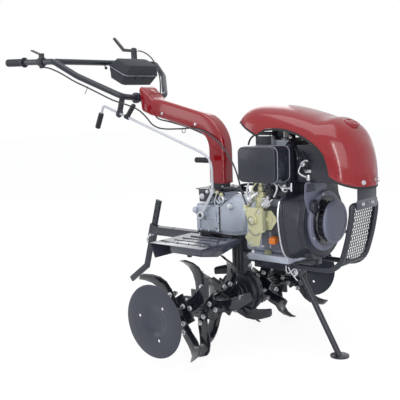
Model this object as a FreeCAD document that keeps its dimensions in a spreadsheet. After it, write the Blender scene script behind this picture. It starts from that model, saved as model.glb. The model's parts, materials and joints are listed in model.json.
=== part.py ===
import FreeCAD, Part
import math
import os
import re

from FreeCAD import Placement, Rotation, Vector

# Walk-behind rotary tiller with a direct-coupled air-cooled diesel engine.
# The shapes are drawn from the rotor axle: X forward, Y to the left, Z up from the ground.
# Each finished piece is then placed so that the middle of the machine's length is at X = 0.

doc = FreeCAD.newDocument("rotary_tiller")
sheet = doc.addObject("Spreadsheet::Sheet", "Sizes")

# Driving dimensions in millimetres and degrees: alias, value, meaning.
SIZES = [
    # rotor
    ("axle_height", 195.0, "rotor axle above the ground the tines stand on"),
    ("tine_reach", 200.0, "radius swept by the tine tips"),
    ("tine_thick", 7.0, "thickness of a tine's steel"),
    ("hub_first", 119.0, "first tine hub from the middle"),
    ("hub_second", 262.0, "second tine hub from the middle"),
    ("hub_third", 408.0, "third tine hub from the middle"),
    ("hub_plate", 118.0, "side of a tine hub's square plate"),
    ("hub_thick", 10.0, "thickness of a tine hub's plate"),
    ("hub_twist", 30.0, "angle from one tine hub to the next"),
    ("rotor_phase", 28.6, "angle of the first hub's tines at rest"),
    ("shaft_radius", 16.0, "round stub shafts of the final drive"),
    ("sleeve_radius", 27.0, "outside of the tine reel's sleeve"),
    ("sleeve_start", 64.0, "inner end of the reel's sleeve from the middle"),
    ("sleeve_end", 534.0, "outer end of the reel's sleeve from the middle"),
    ("disc_radius", 145.0, "side disc's outer radius"),
    ("disc_thick", 3.0, "side disc's steel"),
    ("disc_dish", 16.0, "depth of the side disc's pressed middle"),
    ("disc_dish_radius", 52.0, "radius of the pressed middle"),
    ("disc_hole_radius", 6.0, "side disc's two holes"),
    ("disc_hole_circle", 84.0, "radius of the circle through the disc's holes"),
    # final drive and gearbox
    ("drive_radius", 92.0, "final drive's round case"),
    ("drive_half", 36.0, "half width of the round case"),
    ("drive_rim_radius", 101.0, "bolted rim round the final drive"),
    ("drive_rim_half", 7.0, "half width of the bolted rim"),
    ("drive_boss_radius", 34.0, "bearing boss on each side of the final drive"),
    ("drive_boss_end", 58.0, "end of the bearing boss from the middle"),
    ("leg_back", -26.0, "back of the final drive's leg"),
    ("leg_front", 36.0, "front of the final drive's leg"),
    ("leg_half", 28.0, "half width of the final drive's leg"),
    ("gear_back", -176.0, "back of the gearbox"),
    ("gear_front", -36.0, "joint between gearbox and bell housing"),
    ("gear_half", 84.0, "half width of the gearbox"),
    ("gear_low", 458.0, "underside of the gearbox"),
    ("gear_high", 585.0, "top of the gearbox"),
    ("gear_corner", 16.0, "rounding of the gearbox's long edges"),
    ("flange_proud", 9.0, "joint flange standing out of the gearbox"),
    ("flange_thick", 14.0, "thickness of the joint flange"),
    ("bell_front", 122.0, "face of the bell housing on the engine"),
    ("bell_radius", 112.0, "bell housing's radius at the engine"),
    ("bell_swell", 40.0, "rise of the bell housing's top at its waist"),
    ("turret_high", 634.0, "top of the turret that carries the handle column"),
    ("turret_half", 48.0, "half width of the turret"),
    ("turret_back", -150.0, "back of the turret"),
    ("turret_front", -46.0, "front of the turret"),
    # engine
    ("crank_height", 545.0, "crankshaft above the ground"),
    ("block_front", 346.0, "front of the crankcase"),
    ("block_half", 112.0, "half width of the crankcase"),
    ("block_low", 408.0, "underside of the crankcase"),
    ("block_high", 652.0, "top of the crankcase"),
    ("block_corner", 30.0, "rounding of the crankcase's long edges"),
    ("sump_low", 382.3, "underside of the engine's foot"),
    ("sump_half", 140.0, "half width of the engine's foot"),
    ("sump_back", 150.0, "back of the engine's foot"),
    ("barrel_back", 168.0, "back of the finned barrel"),
    ("barrel_front", 328.0, "front of the finned barrel"),
    ("barrel_half", 88.0, "half width of the finned barrel"),
    ("barrel_high", 806.0, "top of the finned barrel and head"),
    ("fin_pitch", 12.0, "step from fin to fin"),
    ("fin_thick", 4.0, "thickness of a fin"),
    ("fin_deep", 14.0, "depth of a fin"),
    ("rocker_high", 866.0, "top of the rocker cover"),
    ("shroud_back", 352.0, "back of the fan shroud"),
    ("shroud_front", 424.0, "front of the fan shroud"),
    ("shroud_radius", 150.0, "round lower part of the fan shroud"),
    ("shroud_high", 705.7, "top of the fan shroud, under the tank"),
    ("shroud_drum", 400.0, "where the fan shroud's round drum begins"),
    ("pedestal_half", 60.0, "half width of the tank's seat on the shroud"),
    ("cowl_near", -121.0, "near side of the cowl on the cylinder's front"),
    ("cowl_far", 60.0, "far side of the cowl"),
    ("cowl_high", 862.0, "top of the cowl"),
    ("cowl_thick", 21.0, "thickness of the cowl"),
    ("starter_radius", 80.0, "recoil starter's cup"),
    ("starter_front", 486.0, "face of the recoil starter"),
    ("starter_ring_radius", 122.0, "recoil starter's mounting ring"),
    ("starter_ring_thick", 16.0, "thickness of the mounting ring"),
    ("filter_back", 178.0, "back of the air cleaner box"),
    ("filter_front", 354.0, "front of the air cleaner box"),
    ("filter_near", -232.0, "near face of the air cleaner box"),
    ("filter_far", -128.0, "inner face of the air cleaner box"),
    ("filter_low", 711.0, "underside of the air cleaner box"),
    ("filter_high", 848.0, "top of the air cleaner box"),
    ("filter_corner", 24.0, "rounding of the air cleaner's corners"),
    ("muffler_back", 164.0, "back of the exhaust box"),
    ("muffler_front", 334.0, "front of the exhaust box"),
    ("muffler_near", 116.0, "inner face of the exhaust box"),
    ("muffler_far", 206.0, "outer face of the exhaust box"),
    ("muffler_low", 720.0, "underside of the exhaust box"),
    ("muffler_high", 862.0, "top of the exhaust box"),
    ("tank_back", 352.0, "back of the fuel tank"),
    ("tank_front", 570.0, "front of the fuel tank"),
    ("tank_half", 102.0, "half width of the fuel tank"),
    ("tank_low", 706.0, "underside of the fuel tank"),
    ("tank_high", 850.0, "top of the fuel tank"),
    ("tank_corner", 26.0, "rounding of the fuel tank"),
    ("tank_neck_inset", 30.0, "filler neck behind the front of the fuel tank"),
    ("tank_neck_radius", 26.0, "filler neck's outside"),
    ("tank_neck_tall", 44.0, "height of the filler neck"),
    ("governor_near", -176.0, "face of the governor plate"),
    ("governor_thick", 5.0, "thickness of the governor plate"),
    ("cable_end_drop", 49.0, "governor's cable lug above the crankshaft"),
    ("cable_lug", 16.0, "side of the governor's cable lug"),
    ("pump_near", -150.0, "near side of the injection pump"),
    ("pump_back", 162.0, "back of the injection pump"),
    # hood
    ("hood_back", 72.0, "back tip of the hood"),
    ("hood_front", 641.0, "front of the hood"),
    ("hood_half", 158.0, "half width of the hood"),
    ("hood_tail_half", 63.0, "half width of the hood at its back tip"),
    ("hood_tail_long", 120.0, "length over which the hood's tail widens"),
    ("hood_nose", 180.0, "length of the hood's rounded nose"),
    ("hood_crest", 1007.0, "highest line of the hood"),
    ("hood_wall", 3.0, "hood's moulded wall"),
    ("bracket_half", 44.0, "half width of the hood's bracket"),
    ("bracket_long", 56.0, "length of the hood's bracket"),
    ("bracket_thick", 3.0, "sheet of the hood's bracket"),
    ("hood_trim", 9.0, "height of the rubber edging under the hood"),
    ("hood_low", 693.0, "front lower edge of the hood"),
    # frame, guard and stand
    ("rail_low", 342.0, "underside of the frame rails"),
    ("rail_high", 382.0, "top of the frame rails"),
    ("rail_inner", 66.0, "inner side of a frame rail"),
    ("rail_wide", 32.0, "width of a frame rail"),
    ("rail_back", 148.0, "back end of the frame rails"),
    ("rail_front", 352.0, "front end of the frame rails"),
    ("guard_radius", 11.0, "guard's tube"),
    ("guard_half", 93.0, "guard tubes from the middle"),
    ("guard_foot", 368.0, "height of the guard's lower tubes"),
    ("guard_nose", 520.0, "where the guard's tubes start to rise"),
    ("guard_mid_x", 578.0, "guard's tubes at mid height, forward"),
    ("guard_mid_z", 480.0, "guard's tubes at mid height, above ground"),
    ("guard_top_x", 600.0, "top of the guard, forward"),
    ("guard_top_z", 630.0, "top of the guard, above ground"),
    ("guard_bend", 64.0, "bend radius of the guard's tubes at the nose"),
    ("guard_slow_bend", 200.0, "bend radius of the guard's tubes at mid height"),
    ("mesh_strand", 2.4, "width of the guard mesh's strands"),
    ("mesh_thick", 2.0, "thickness of the guard mesh"),
    ("mesh_pitch", 15.0, "step of the guard mesh"),
    ("mesh_slope", 58.0, "slope of the mesh's strands"),
    ("mesh_rim", 5.0, "rim of the guard mesh"),
    ("lamp_hole_step", 72.0, "between the two lamp holes in the guard's top plate"),
    ("lamp_hole_radius", 4.5, "lamp holes in the guard's top plate"),
    ("lamp_plate_thick", 4.0, "guard's top plate"),
    ("strut_half", 72.0, "half width of the plate from the guard up to the hood"),
    ("shelf_half", 50.0, "half width of the shelf that the hood's front rests on"),
    ("shelf_thick", 12.0, "thickness of that shelf"),
    ("stand_pivot_x", 306.0, "stand's pivot, forward"),
    ("stand_pivot_z", 322.0, "stand's pivot above the ground"),
    ("stand_foot_x", 490.0, "stand's foot, forward"),
    ("stand_radius", 12.0, "stand's tube"),
    ("stand_eye_radius", 19.0, "eye at the stand's pivot"),
    ("stand_eye_half", 15.0, "half width of the stand's eye"),
    ("stand_foot_radius", 38.0, "stand's round foot plate"),
    ("stand_foot_thick", 6.0, "stand's foot plate"),
    ("stand_pin_radius", 8.0, "stand's pivot pin"),
    ("pin_gap", 0.06, "running gap round a pin"),
    ("side_gap", 1.0, "side gap between an eye and its ears"),
    ("ear_thick", 8.0, "thickness of a bracket's ear"),
    # fenders and hitch
    ("fender_back", -206.0, "back edge of a fender"),
    ("fender_front", 80.0, "front edge of a fender"),
    ("fender_inner", 92.0, "inner edge of a fender"),
    ("fender_outer", 352.0, "outer edge of a fender"),
    ("fender_high", 450.0, "top of a fender"),
    ("fender_thick", 2.5, "fender's sheet"),
    ("fender_lip", 30.0, "fender's side flange"),
    ("fender_flap", 62.0, "drop of the fender's back flap"),
    ("fender_flap_run", 26.0, "how far the flap slants forward"),
    ("stay_back", -110.0, "back of the bar that carries the fenders"),
    ("stay_deep", 36.0, "that bar, front to back"),
    ("stay_half", 332.0, "half length of that bar"),
    ("stay_tall", 26.0, "height of that bar"),
    ("fender_rib", 10.0, "width of a pressed rib on the fender"),
    ("fender_rib_step", 52.0, "step of the fender's ribs"),
    ("hitch_low", 400.0, "underside of the drawbar"),
    ("hitch_high", 440.0, "top of the drawbar"),
    ("hitch_half", 20.0, "half width of the drawbar"),
    ("hitch_back", -524.0, "back end of the drawbar"),
    ("hitch_pin_radius", 8.5, "pin hole through the drawbar"),
    ("hitch_pin_x", -400.0, "pin hole through the drawbar, forward"),
    ("depth_lean", 17.0, "lean of the depth bar from upright"),
    ("depth_top", 568.0, "top of the depth bar"),
    ("depth_top_x", -489.0, "top of the depth bar, forward"),
    ("depth_bend_z", 236.0, "bend of the depth bar"),
    ("depth_tip_x", -705.0, "tip of the depth bar, forward"),
    ("depth_tip_z", 152.0, "tip of the depth bar above the ground"),
    ("depth_deep", 28.0, "depth bar, front to back"),
    ("depth_half", 7.0, "half thickness of the depth bar"),
    ("depth_hole_radius", 5.0, "pin holes in the depth bar"),
    ("depth_hole_step", 36.0, "step of the pin holes in the depth bar"),
    ("socket_wall", 5.0, "wall of the depth bar's socket"),
    ("socket_gap", 0.5, "gap between depth bar and socket"),
    ("socket_low", 366.0, "underside of the socket"),
    ("socket_high", 448.0, "top of the socket"),
    # handle column
    ("column_deep", 74.0, "handle column, front to back"),
    ("column_half", 30.0, "half width of the handle column"),
    ("column_x", -98.0, "middle of the column's upright"),
    ("column_foot", 650.0, "lower end of the red column"),
    ("column_bend_z", 820.0, "where the column starts to bend back"),
    ("column_bend", 122.0, "bend radius of the column's middle line"),
    ("column_rise", 14.5, "slope of the column's upper run"),
    ("column_wall", 3.0, "column's sheet"),
    ("column_corner", 14.0, "rounding of the column's long edges"),
    ("column_run", 250.0, "length of the column's upper run to the head"),
    ("head_half", 54.0, "half width of the head's mouth"),
    ("head_back", -536.0, "back of the head at its top, forward"),
    ("head_crest", -524.0, "front of the head's flat top, forward"),
    ("head_crest_half", 52.0, "half width of the head at its crest"),
    ("neck_x", -466.0, "foot of the head's sloping top, forward"),
    ("neck_high", 1051.0, "foot of the head's sloping top, above the ground"),
    ("neck_low", 968.0, "underside of the head's neck"),
    ("neck_half", 46.0, "half width of the head's neck"),
    ("head_high", 1106.0, "top of the head"),
    ("head_low", 990.0, "underside of the head at its mouth"),
    ("head_lean", 18.0, "how far the mouth leans forward from its top to its foot"),
    ("head_corner", 18.0, "rounding of the head's long edges"),
    ("hub_lift", 14.0, "handlebar hub above the middle of the head's mouth"),
    ("collar_half", 44.0, "half width of the black collar under the column"),
    # handlebar
    ("tube_radius", 14.0, "handlebar tube"),
    ("hub_radius", 25.0, "handlebar hub's toothed rings"),
    ("hub_half", 62.0, "half width of the handlebar hub"),
    ("hub_ring_wide", 16.0, "width of a toothed ring"),
    ("web_half", 30.0, "half width of the web between hub and plate"),
    ("web_tall", 44.0, "height of that web"),
    ("hub_plate_thick", 5.0, "plate that closes the column's head"),
    ("hub_seat", 1.5, "depth of the hub's rings in the head's plate"),
    ("elbow_x", -803.0, "handlebar's corner, forward"),
    ("elbow_y", 334.0, "handlebar's corner from the middle"),
    ("elbow_z", 1236.0, "handlebar's corner above the ground"),
    ("bow_x", -701.0, "middle bend of a handlebar arm, forward"),
    ("bow_y", 287.0, "middle bend of a handlebar arm from the middle"),
    ("bow_z", 1166.0, "middle bend of a handlebar arm above the ground"),
    ("knee_x", -558.0, "inner bend of a handlebar arm, forward"),
    ("knee_y", 143.0, "inner bend of a handlebar arm from the middle"),
    ("knee_z", 1065.0, "inner bend of a handlebar arm above the ground"),
    ("grip_x", -1137.0, "end of the hand grips, forward"),
    ("grip_y", 353.0, "end of the hand grips from the middle"),
    ("grip_z", 1249.0, "end of the hand grips above the ground"),
    ("grip_long", 128.0, "length of a hand grip"),
    ("grip_radius", 18.0, "hand grip"),
    ("grip_cap", 4.7, "closed outer end of a hand grip"),
    ("grip_flare", 14.0, "length of a hand grip's flared collar"),
    ("elbow_bend", 50.0, "bend radius at the handlebar's corner"),
    ("bow_bend", 110.0, "bend radius of the arm's middle bend"),
    ("knee_bend", 60.0, "bend radius of the arm's inner bend"),
    # toolbox
    ("toolbox_tilt", 26.0, "forward slope of the toolbox"),
    ("toolbox_x", -778.0, "toolbox's back edge at the seam, forward"),
    ("toolbox_z", 1226.0, "toolbox's back edge at the seam above the ground"),
    ("toolbox_near", -22.0, "near side of the toolbox"),
    ("toolbox_far", 208.0, "far side of the toolbox"),
    ("toolbox_long", 134.0, "toolbox, back to front"),
    ("toolbox_deep", 58.0, "depth of the toolbox's tub"),
    ("lid_tall", 45.0, "height of the toolbox's lid"),
    ("toolbox_wall", 3.0, "toolbox's wall"),
    ("toolbox_corner", 12.0, "slanted corners of the toolbox"),
    ("lid_gap", 0.4, "gap between lid and tub"),
    ("tub_draft", 16.0, "how much the tub draws in towards its floor"),
    ("lid_draft", 12.0, "how much the lid's front and ends draw in towards its top"),
    ("lid_back_draft", 27.0, "how much the lid's back draws in, to swing clear of the crossbar"),
    ("hook_reach", 9.0, "half length of the toolbox's seats under the crossbar"),
    ("hook_drop", 30.0, "underside of the toolbox's hooks below its seam"),
    ("hook_wide", 24.0, "width of the toolbox's hooks"),
    ("hook_inset", 40.0, "hooks from the toolbox's ends"),
    ("hook_thick", 12.0, "thickness of the toolbox's hooks"),
    # controls
    ("clamp_wall", 6.0, "wall of a lever's clamp on the handlebar"),
    ("gland_radius", 6.0, "where a cable enters its lever"),
    ("throttle_x", -900.0, "throttle lever's clamp, forward"),
    ("clutch_x", -990.0, "clutch lever's clamp, forward"),
    ("selector_x", -137.0, "selector shaft on the gearbox, forward"),
    ("selector_z", 536.0, "selector shaft above the ground"),
    ("selector_radius", 6.0, "selector shaft"),
    ("rod_radius", 6.0, "shift rod"),
    ("rod_foot", 654.0, "lower end of the shift rod"),
    ("rod_elbow_z", 792.0, "where the shift rod turns down, above the ground"),
    ("rod_x", -68.0, "upright part of the shift rod, forward"),
    ("rod_back_x", -694.0, "back end of the shift rod's long run, forward"),
    ("rod_back_y", -140.0, "back end of the shift rod's long run, to the right"),
    ("rod_back_z", 1026.0, "back end of the shift rod's long run, above the ground"),
    ("rod_drop_x", 48.0, "backward lean of the shift rod's hand lever"),
    ("rod_drop_z", 100.0, "height of the shift rod's hand lever"),
    ("rod_knee", 60.0, "bend radius of the shift rod over the gearbox"),
    ("rod_top_bend", 16.0, "bend radius at the shift rod's hand lever"),
    ("knob_radius", 13.0, "hand grip on the shift rod"),
    ("knob_long", 78.0, "length of the hand grip on the shift rod"),
    ("second_grip_x", -545.0, "foot of the second shift grip, forward"),
    ("second_grip_radius", 11.0, "second shift grip"),
    ("third_grip_radius", 12.0, "short grip over the gearbox"),
    ("third_grip_x", -160.0, "end of the short grip over the gearbox, forward"),
    ("third_grip_z", 774.0, "short grip over the gearbox, above the ground"),
    ("rod_guide_x", -592.0, "shift rod's guide plate, forward"),
    ("rod_side", -97.0, "upright part of the shift rod, to the right"),
    ("cable_radius", 3.5, "control cable's casing"),
]
ALIASES = {alias for alias, value, meaning in SIZES}

for row, (alias, value, meaning) in enumerate(SIZES, start=1):
    sheet.set("A%d" % row, meaning)
    sheet.set("B%d" % row, str(value))
    sheet.setAlias("B%d" % row, alias)

# Where the machine stands, found from its own pieces: two cells that are filled in further down.
PLACING = len(SIZES) + 1
for row, alias, meaning in ((PLACING, "shift_x", "axle ahead of the middle of the length"),
                            (PLACING + 1, "ground", "lowest point of the tines at rest")):
    sheet.set("A%d" % row, meaning)
    sheet.set("B%d" % row, "0")
    sheet.setAlias("B%d" % row, alias)
    ALIASES.add(alias)
doc.recompute()


# ---------------------------------------------------------------- helpers
def formula(text):
    """The sum in text, with the sheet's name put before each of its aliases."""
    def named(word):
        return "Sizes." + word.group() if word.group() in ALIASES else word.group()
    return re.sub(r"[a-z][a-z_0-9]*", named, str(text))


def size(text):
    """The sum in text as a number."""
    return float(sheet.evalExpression(formula(text)))


def bind(thing, **sums):
    """Tie properties of a feature to sums of the sheet's sizes."""
    for name, text in sums.items():
        thing.setExpression(name.replace("__", "."), formula(text))
    return thing


def place(thing, x, y, z, turn=None):
    if turn is not None:
        thing.Placement = Placement(Vector(), turn)
    return bind(thing, Placement__Base__x=x, Placement__Base__y=y, Placement__Base__z=z)


def block(x, y, z, long, wide, tall):
    """A plain block from its low corner."""
    thing = doc.addObject("Part::Box", "block")
    bind(thing, Length=long, Width=wide, Height=tall)
    return place(thing, x, y, z)


ALONG = {"x": Rotation(Vector(0, 1, 0), 90), "y": Rotation(Vector(1, 0, 0), -90), "z": Rotation()}


def bar(x, y, z, radius, long, axis="z"):
    """A round bar from the middle of its low end."""
    thing = doc.addObject("Part::Cylinder", "bar")
    bind(thing, Radius=radius, Height=long)
    return place(thing, x, y, z, ALONG[axis])


def taper(x, y, z, first, last, long, axis="z"):
    """A round taper from the middle of its low end."""
    thing = doc.addObject("Part::Cone", "taper")
    bind(thing, Radius1=first, Radius2=last, Height=long)
    return place(thing, x, y, z, ALONG[axis])


def rounded_block(name, x, y, z, long, wide, tall, corner, edges):
    """A block with rounded edges, as a body of its own."""
    body = doc.addObject("PartDesign::Body", name)
    box = body.newObject("PartDesign::AdditiveBox", name + "_box")
    bind(box, Length=long, Width=wide, Height=tall)
    place(box, x, y, z)
    doc.recompute()
    round_off = body.newObject("PartDesign::Fillet", name + "_corners")
    round_off.Base = (box, edges)
    bind(round_off, Radius=corner)
    return body


X_EDGES = ["Edge9", "Edge10", "Edge11", "Edge12"]
Z_EDGES = ["Edge1", "Edge3", "Edge5", "Edge7"]


def joined(*things):
    thing = doc.addObject("Part::MultiFuse", "joined")
    thing.Shapes = list(things)
    return thing


def carved(base, *tools):
    thing = doc.addObject("Part::Cut", "carved")
    thing.Base = base
    thing.Tool = tools[0] if len(tools) == 1 else joined(*tools)
    return thing


def drawn(shape, name="drawn"):
    """A feature whose shape is worked out here from the sheet's sizes, its place taken into the shape."""
    where = shape.Placement.Matrix
    settled = shape.copy()
    settled.Placement = Placement()
    thing = doc.addObject("Part::Feature", name)
    thing.Shape = settled.transformed(where, True)
    return thing


NODES = []


def node(label, thing):
    """A finished piece: its label names its file."""
    thing.Label = label
    NODES.append(thing)
    return thing


def arc_path(points, radii):
    """A wire of straight runs through points, its corners rounded by tangent arcs."""
    corners = [Vector(*p) for p in points]
    edges = []
    start = corners[0]
    for before, corner, after, radius in zip(corners, corners[1:], corners[2:], radii):
        back = (before - corner).normalize()
        ahead = (after - corner).normalize()
        half_turn = (math.pi - back.getAngle(ahead)) / 2
        reach = radius * math.tan(half_turn)
        first = corner + back * reach
        last = corner + ahead * reach
        inward = (back + ahead).normalize()
        middle = corner + inward * (radius / math.cos(half_turn) - radius)
        edges.append(Part.LineSegment(start, first).toShape())
        edges.append(Part.Arc(first, middle, last).toShape())
        start = last
    edges.append(Part.LineSegment(start, corners[-1]).toShape())
    return Part.Wire(edges)


def tube(points, radii, radius):
    """A solid round tube along a path of runs and arcs."""
    path = arc_path(points, radii)
    heading = path.Edges[0].tangentAt(path.Edges[0].FirstParameter)
    ring = Part.Wire([Part.Circle(Vector(*points[0]), heading, radius).toShape()])
    return path.makePipeShell([ring], True, False, 1)


def flat_wire(points):
    return Part.makePolygon(list(points) + [points[0]])


def side_plate(points, y, thick):
    """A plate of thickness thick, drawn in X and Z at distance y."""
    wire = flat_wire([Vector(x, y, z) for x, z in points])
    return Part.Face(wire).extrude(Vector(0, thick, 0))


def limp_radii(points):
    """The largest arcs that a cord's runs leave room for."""
    corners = [Vector(*p) for p in points]
    radii = []
    for before, corner, after in zip(corners, corners[1:], corners[2:]):
        turn = math.pi - (before - corner).getAngle(after - corner)
        shorter = min((before - corner).Length, (after - corner).Length)
        radii.append(0.45 * shorter / math.tan(turn / 2))
    return radii


# ---------------------------------------------------------------- rotor
# Stations along one tine: reach from the axle, sideways run, lean of the steel, sweep back, width.
TINE_STATIONS = [
    (30.0, 0.0, 0.0, 0.0, 44.0),
    (95.0, 0.0, 0.0, 2.0, 50.0),
    (132.0, 2.0, 14.0, 10.0, 54.0),
    (160.0, 13.0, 36.0, 20.0, 54.0),
    (180.0, 32.0, 54.0, 32.0, 50.0),
    (202.0, 74.0, 66.0, 46.0, 38.0),
]


def tine(side):
    """One tine standing up from the axle, its tip bent to the left (side 1) or right (side -1)."""
    half = size("tine_thick") / 2
    sections = []
    for reach, across, lean, sweep, wide in TINE_STATIONS:
        angle = math.radians(lean)
        skin = Vector(0, side * math.cos(angle), -math.sin(angle)) * half
        middle = Vector(-sweep, side * across, reach)
        edge = Vector(wide / 2, 0, 0)
        sections.append(flat_wire([middle - skin - edge, middle - skin + edge,
                                   middle + skin + edge, middle + skin - edge]))
    return Part.makeLoft(sections, True, True)


def tine_reel(side):
    """Sleeve, square hub plates and four tines on each hub, for one side of the rotor."""
    axle = Vector(0, 0, size("axle_height"))
    across = Vector(0, side, 0)
    start = size("sleeve_start")
    reel = Part.makeCylinder(size("sleeve_radius"), size("sleeve_end - sleeve_start"),
                             axle + across * start, across)
    sweep = Part.makeCylinder(size("tine_reach"), size("2 * sleeve_end"),
                              Vector(0, -size("sleeve_end"), 0), Vector(0, 1, 0))
    pieces = []
    for hub, place_name in enumerate(("hub_first", "hub_second", "hub_third")):
        half = size("hub_plate") / 2
        thick = size("hub_thick")
        plate = Part.makeBox(2 * half, thick, 2 * half, Vector(-half, -thick / 2, -half))
        hub_parts = [plate]
        for turn in range(4):
            bend = side if turn % 2 == 0 else -side
            blade = tine(bend).common(sweep)
            offset = bend * (thick + size("tine_thick")) / 2
            blade.translate(Vector(0, offset, 0))
            blade.rotate(Vector(), Vector(0, 1, 0), 90 * turn)
            hub_parts.append(blade)
        whole = hub_parts[0].multiFuse(hub_parts[1:])
        whole.rotate(Vector(), Vector(0, 1, 0), size("rotor_phase") - hub * size("hub_twist"))
        whole.translate(Vector(axle.x, side * size(place_name), axle.z))
        pieces.append(whole)
    reel = reel.multiFuse(pieces)
    bore = Part.makeCylinder(size("shaft_radius + pin_gap"), size("sleeve_end"),
                             axle + across * (start - 1), across)
    return reel.cut(bore).removeSplitter()


reels = {}
for side_name, side in (("left", 1), ("right", -1)):
    reels[side_name] = node("tine_reel_" + side_name, drawn(tine_reel(side)))
doc.recompute()
lowest = min(reel.Shape.optimalBoundingBox(True, False).ZMin for reel in reels.values())
sheet.set("B%d" % (PLACING + 1), str(round(lowest, 3)))
doc.recompute()

shaft_end = "sleeve_end - 1"
node("rotor_axle", bar("0", "-(%s)" % shaft_end, "axle_height", "shaft_radius", "2 * (%s)" % shaft_end, "y"))


def side_disc(name, side):
    """Pressed steel disc: a flat rim with a dished middle and two holes, turned about the axle."""
    radius = size("disc_radius")
    thick = size("disc_thick")
    dish = size("disc_dish")
    dish_radius = size("disc_dish_radius")
    shoulder = dish_radius + 1.6 * dish
    start = size("sleeve_end") + 0.3
    section = [(0, start), (dish_radius, start), (shoulder, start + dish), (radius, start + dish),
               (radius, start + dish + thick), (shoulder - 1, start + dish + thick),
               (dish_radius - 1, start + thick), (0, start + thick)]
    wire = flat_wire([Vector(r, side * y, 0) for r, y in section])
    disc = Part.Face(wire).revolve(Vector(), Vector(0, 1, 0), 360)
    for angle in (25, 205):
        foot = Vector(size("disc_hole_circle"), side * start - 2 * dish, 0)
        hole = Part.makeCylinder(size("disc_hole_radius"), 4 * dish, foot, Vector(0, 1, 0))
        hole.rotate(Vector(), Vector(0, 1, 0), angle)
        disc = disc.cut(hole)
    disc.translate(Vector(0, 0, size("axle_height")))
    return node(name, drawn(disc))


side_disc("side_disc_left", 1)
side_disc("side_disc_right", -1)

# ---------------------------------------------------------------- final drive and gearbox
running = "shaft_radius + pin_gap"
drive_case = bar("0", "-drive_half", "axle_height", "drive_radius", "2 * drive_half", "y")
drive_rim = bar("0", "-drive_rim_half", "axle_height", "drive_rim_radius", "2 * drive_rim_half", "y")
drive_boss = bar("0", "-drive_boss_end", "axle_height", "drive_boss_radius", "2 * drive_boss_end", "y")
drive_leg = block("leg_back", "-leg_half", "axle_height", "leg_front - leg_back", "2 * leg_half",
                  "gear_low - 0.3 - axle_height")
drive_bore = bar("0", "-drive_boss_end - 1", "axle_height", running, "2 * drive_boss_end + 2", "y")
node("final_drive", carved(joined(drive_case, drive_rim, drive_boss, drive_leg), drive_bore))

gear_body = rounded_block("gear_body", "gear_back", "-gear_half", "gear_low", "gear_front - gear_back",
                          "2 * gear_half", "gear_high - gear_low", "gear_corner", X_EDGES)
gear_flange = rounded_block("gear_flange", "gear_front - flange_thick", "-gear_half - flange_proud",
                            "gear_low - 0.01", "flange_thick", "2 * (gear_half + flange_proud)",
                            "gear_high - gear_low + flange_proud", "gear_corner", X_EDGES)
turret = block("turret_back", "-turret_half", "gear_low + 20", "turret_front - turret_back",
               "2 * turret_half", "turret_high - gear_low - 20")
cable_gland = bar("gear_back + 12", "16", "gear_high - 1", "8", "16.7", "z")
shift_boss = bar("gear_back - 22", "-52", "gear_high - 42", "17", "40", "x")
selector_boss = bar("selector_x", "-gear_half - 9", "selector_z", "15", "30", "y")
selector_pin = bar("selector_x", "rod_side - 6", "selector_z", "selector_radius", "20", "y")
node("gearbox", joined(gear_body, gear_flange, turret, cable_gland, shift_boss, selector_boss, selector_pin))


def bell_housing():
    """Casting that widens from the gearbox's rectangle to the engine's round face."""
    back = size("gear_front")
    front = size("bell_front")
    half = size("gear_half + flange_proud")
    low = size("gear_low")
    high = size("gear_high + flange_proud")
    crank = size("crank_height")
    radius = size("bell_radius")
    corner = size("gear_corner")
    rim = [(half, low + corner), (half, high - corner), (half - corner, high), (-half + corner, high),
           (-half, high - corner), (-half, low + corner), (-half + corner, low), (half - corner, low)]
    first = flat_wire([Vector(back, y, z) for y, z in rim])
    middle = Vector(0, 0, (low + high) / 2)
    ring = []
    for y, z in rim:
        angle = math.atan2(z - middle.z, y)
        ring.append(Vector(front - 16, radius * math.cos(angle), crank + radius * math.sin(angle)))
    waist = size("leg_front") + 1
    swell = [(y, z + (size("bell_swell") if z > middle.z else 0)) for y, z in rim]
    second = flat_wire([Vector(waist, y, z) for y, z in swell])
    bell = Part.makeLoft([first, second, flat_wire(ring)], True, True)
    face = Part.makeCylinder(radius + 6, 18, Vector(front - 18, 0, crank), Vector(1, 0, 0))
    return bell.fuse(face)


node("bell_housing", drawn(bell_housing()))

# ---------------------------------------------------------------- engine
crankcase = rounded_block("crankcase", "bell_front + 0.3", "-block_half", "block_low",
                          "block_front - bell_front - 0.3", "2 * block_half", "block_high - block_low",
                          "block_corner", X_EDGES)
node("engine_block", crankcase)
node("engine_foot", block("sump_back", "-sump_half", "sump_low", "block_front - sump_back", "2 * sump_half",
                          "block_low - sump_low"))


def finned_barrel():
    """Cylinder and head with cooling fins on all four sides, and the rocker cover on top."""
    deep = size("fin_deep")
    back = size("barrel_back")
    front = size("barrel_front")
    half = size("barrel_half")
    low = size("block_high")
    high = size("barrel_high")
    core = Part.makeBox(front - back - 2 * deep, 2 * half - 2 * deep, high - low,
                        Vector(back + deep, deep - half, low))
    fins = []
    count = int((high - low - size("fin_thick")) / size("fin_pitch"))
    for step in range(1, count + 1):
        level = low + step * size("fin_pitch")
        fins.append(Part.makeBox(front - back, 2 * half, size("fin_thick"), Vector(back, -half, level)))
    cover = Part.makeBox(front - back - 50, 2 * half - 60, size("rocker_high") - high,
                         Vector(back + 25, 30 - half, high))
    return core.multiFuse(fins + [cover])


node("cylinder", drawn(finned_barrel()))


# Outline of the shroud's flange on the crankcase: half width and height, from its foot to its top.
SHROUD_FLANGE = [(0, 402), (110, 402), (158, 422), (183, 468), (197, 530), (202, 590), (190, 638), (140, 652),
                 (0, 652)]


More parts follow.
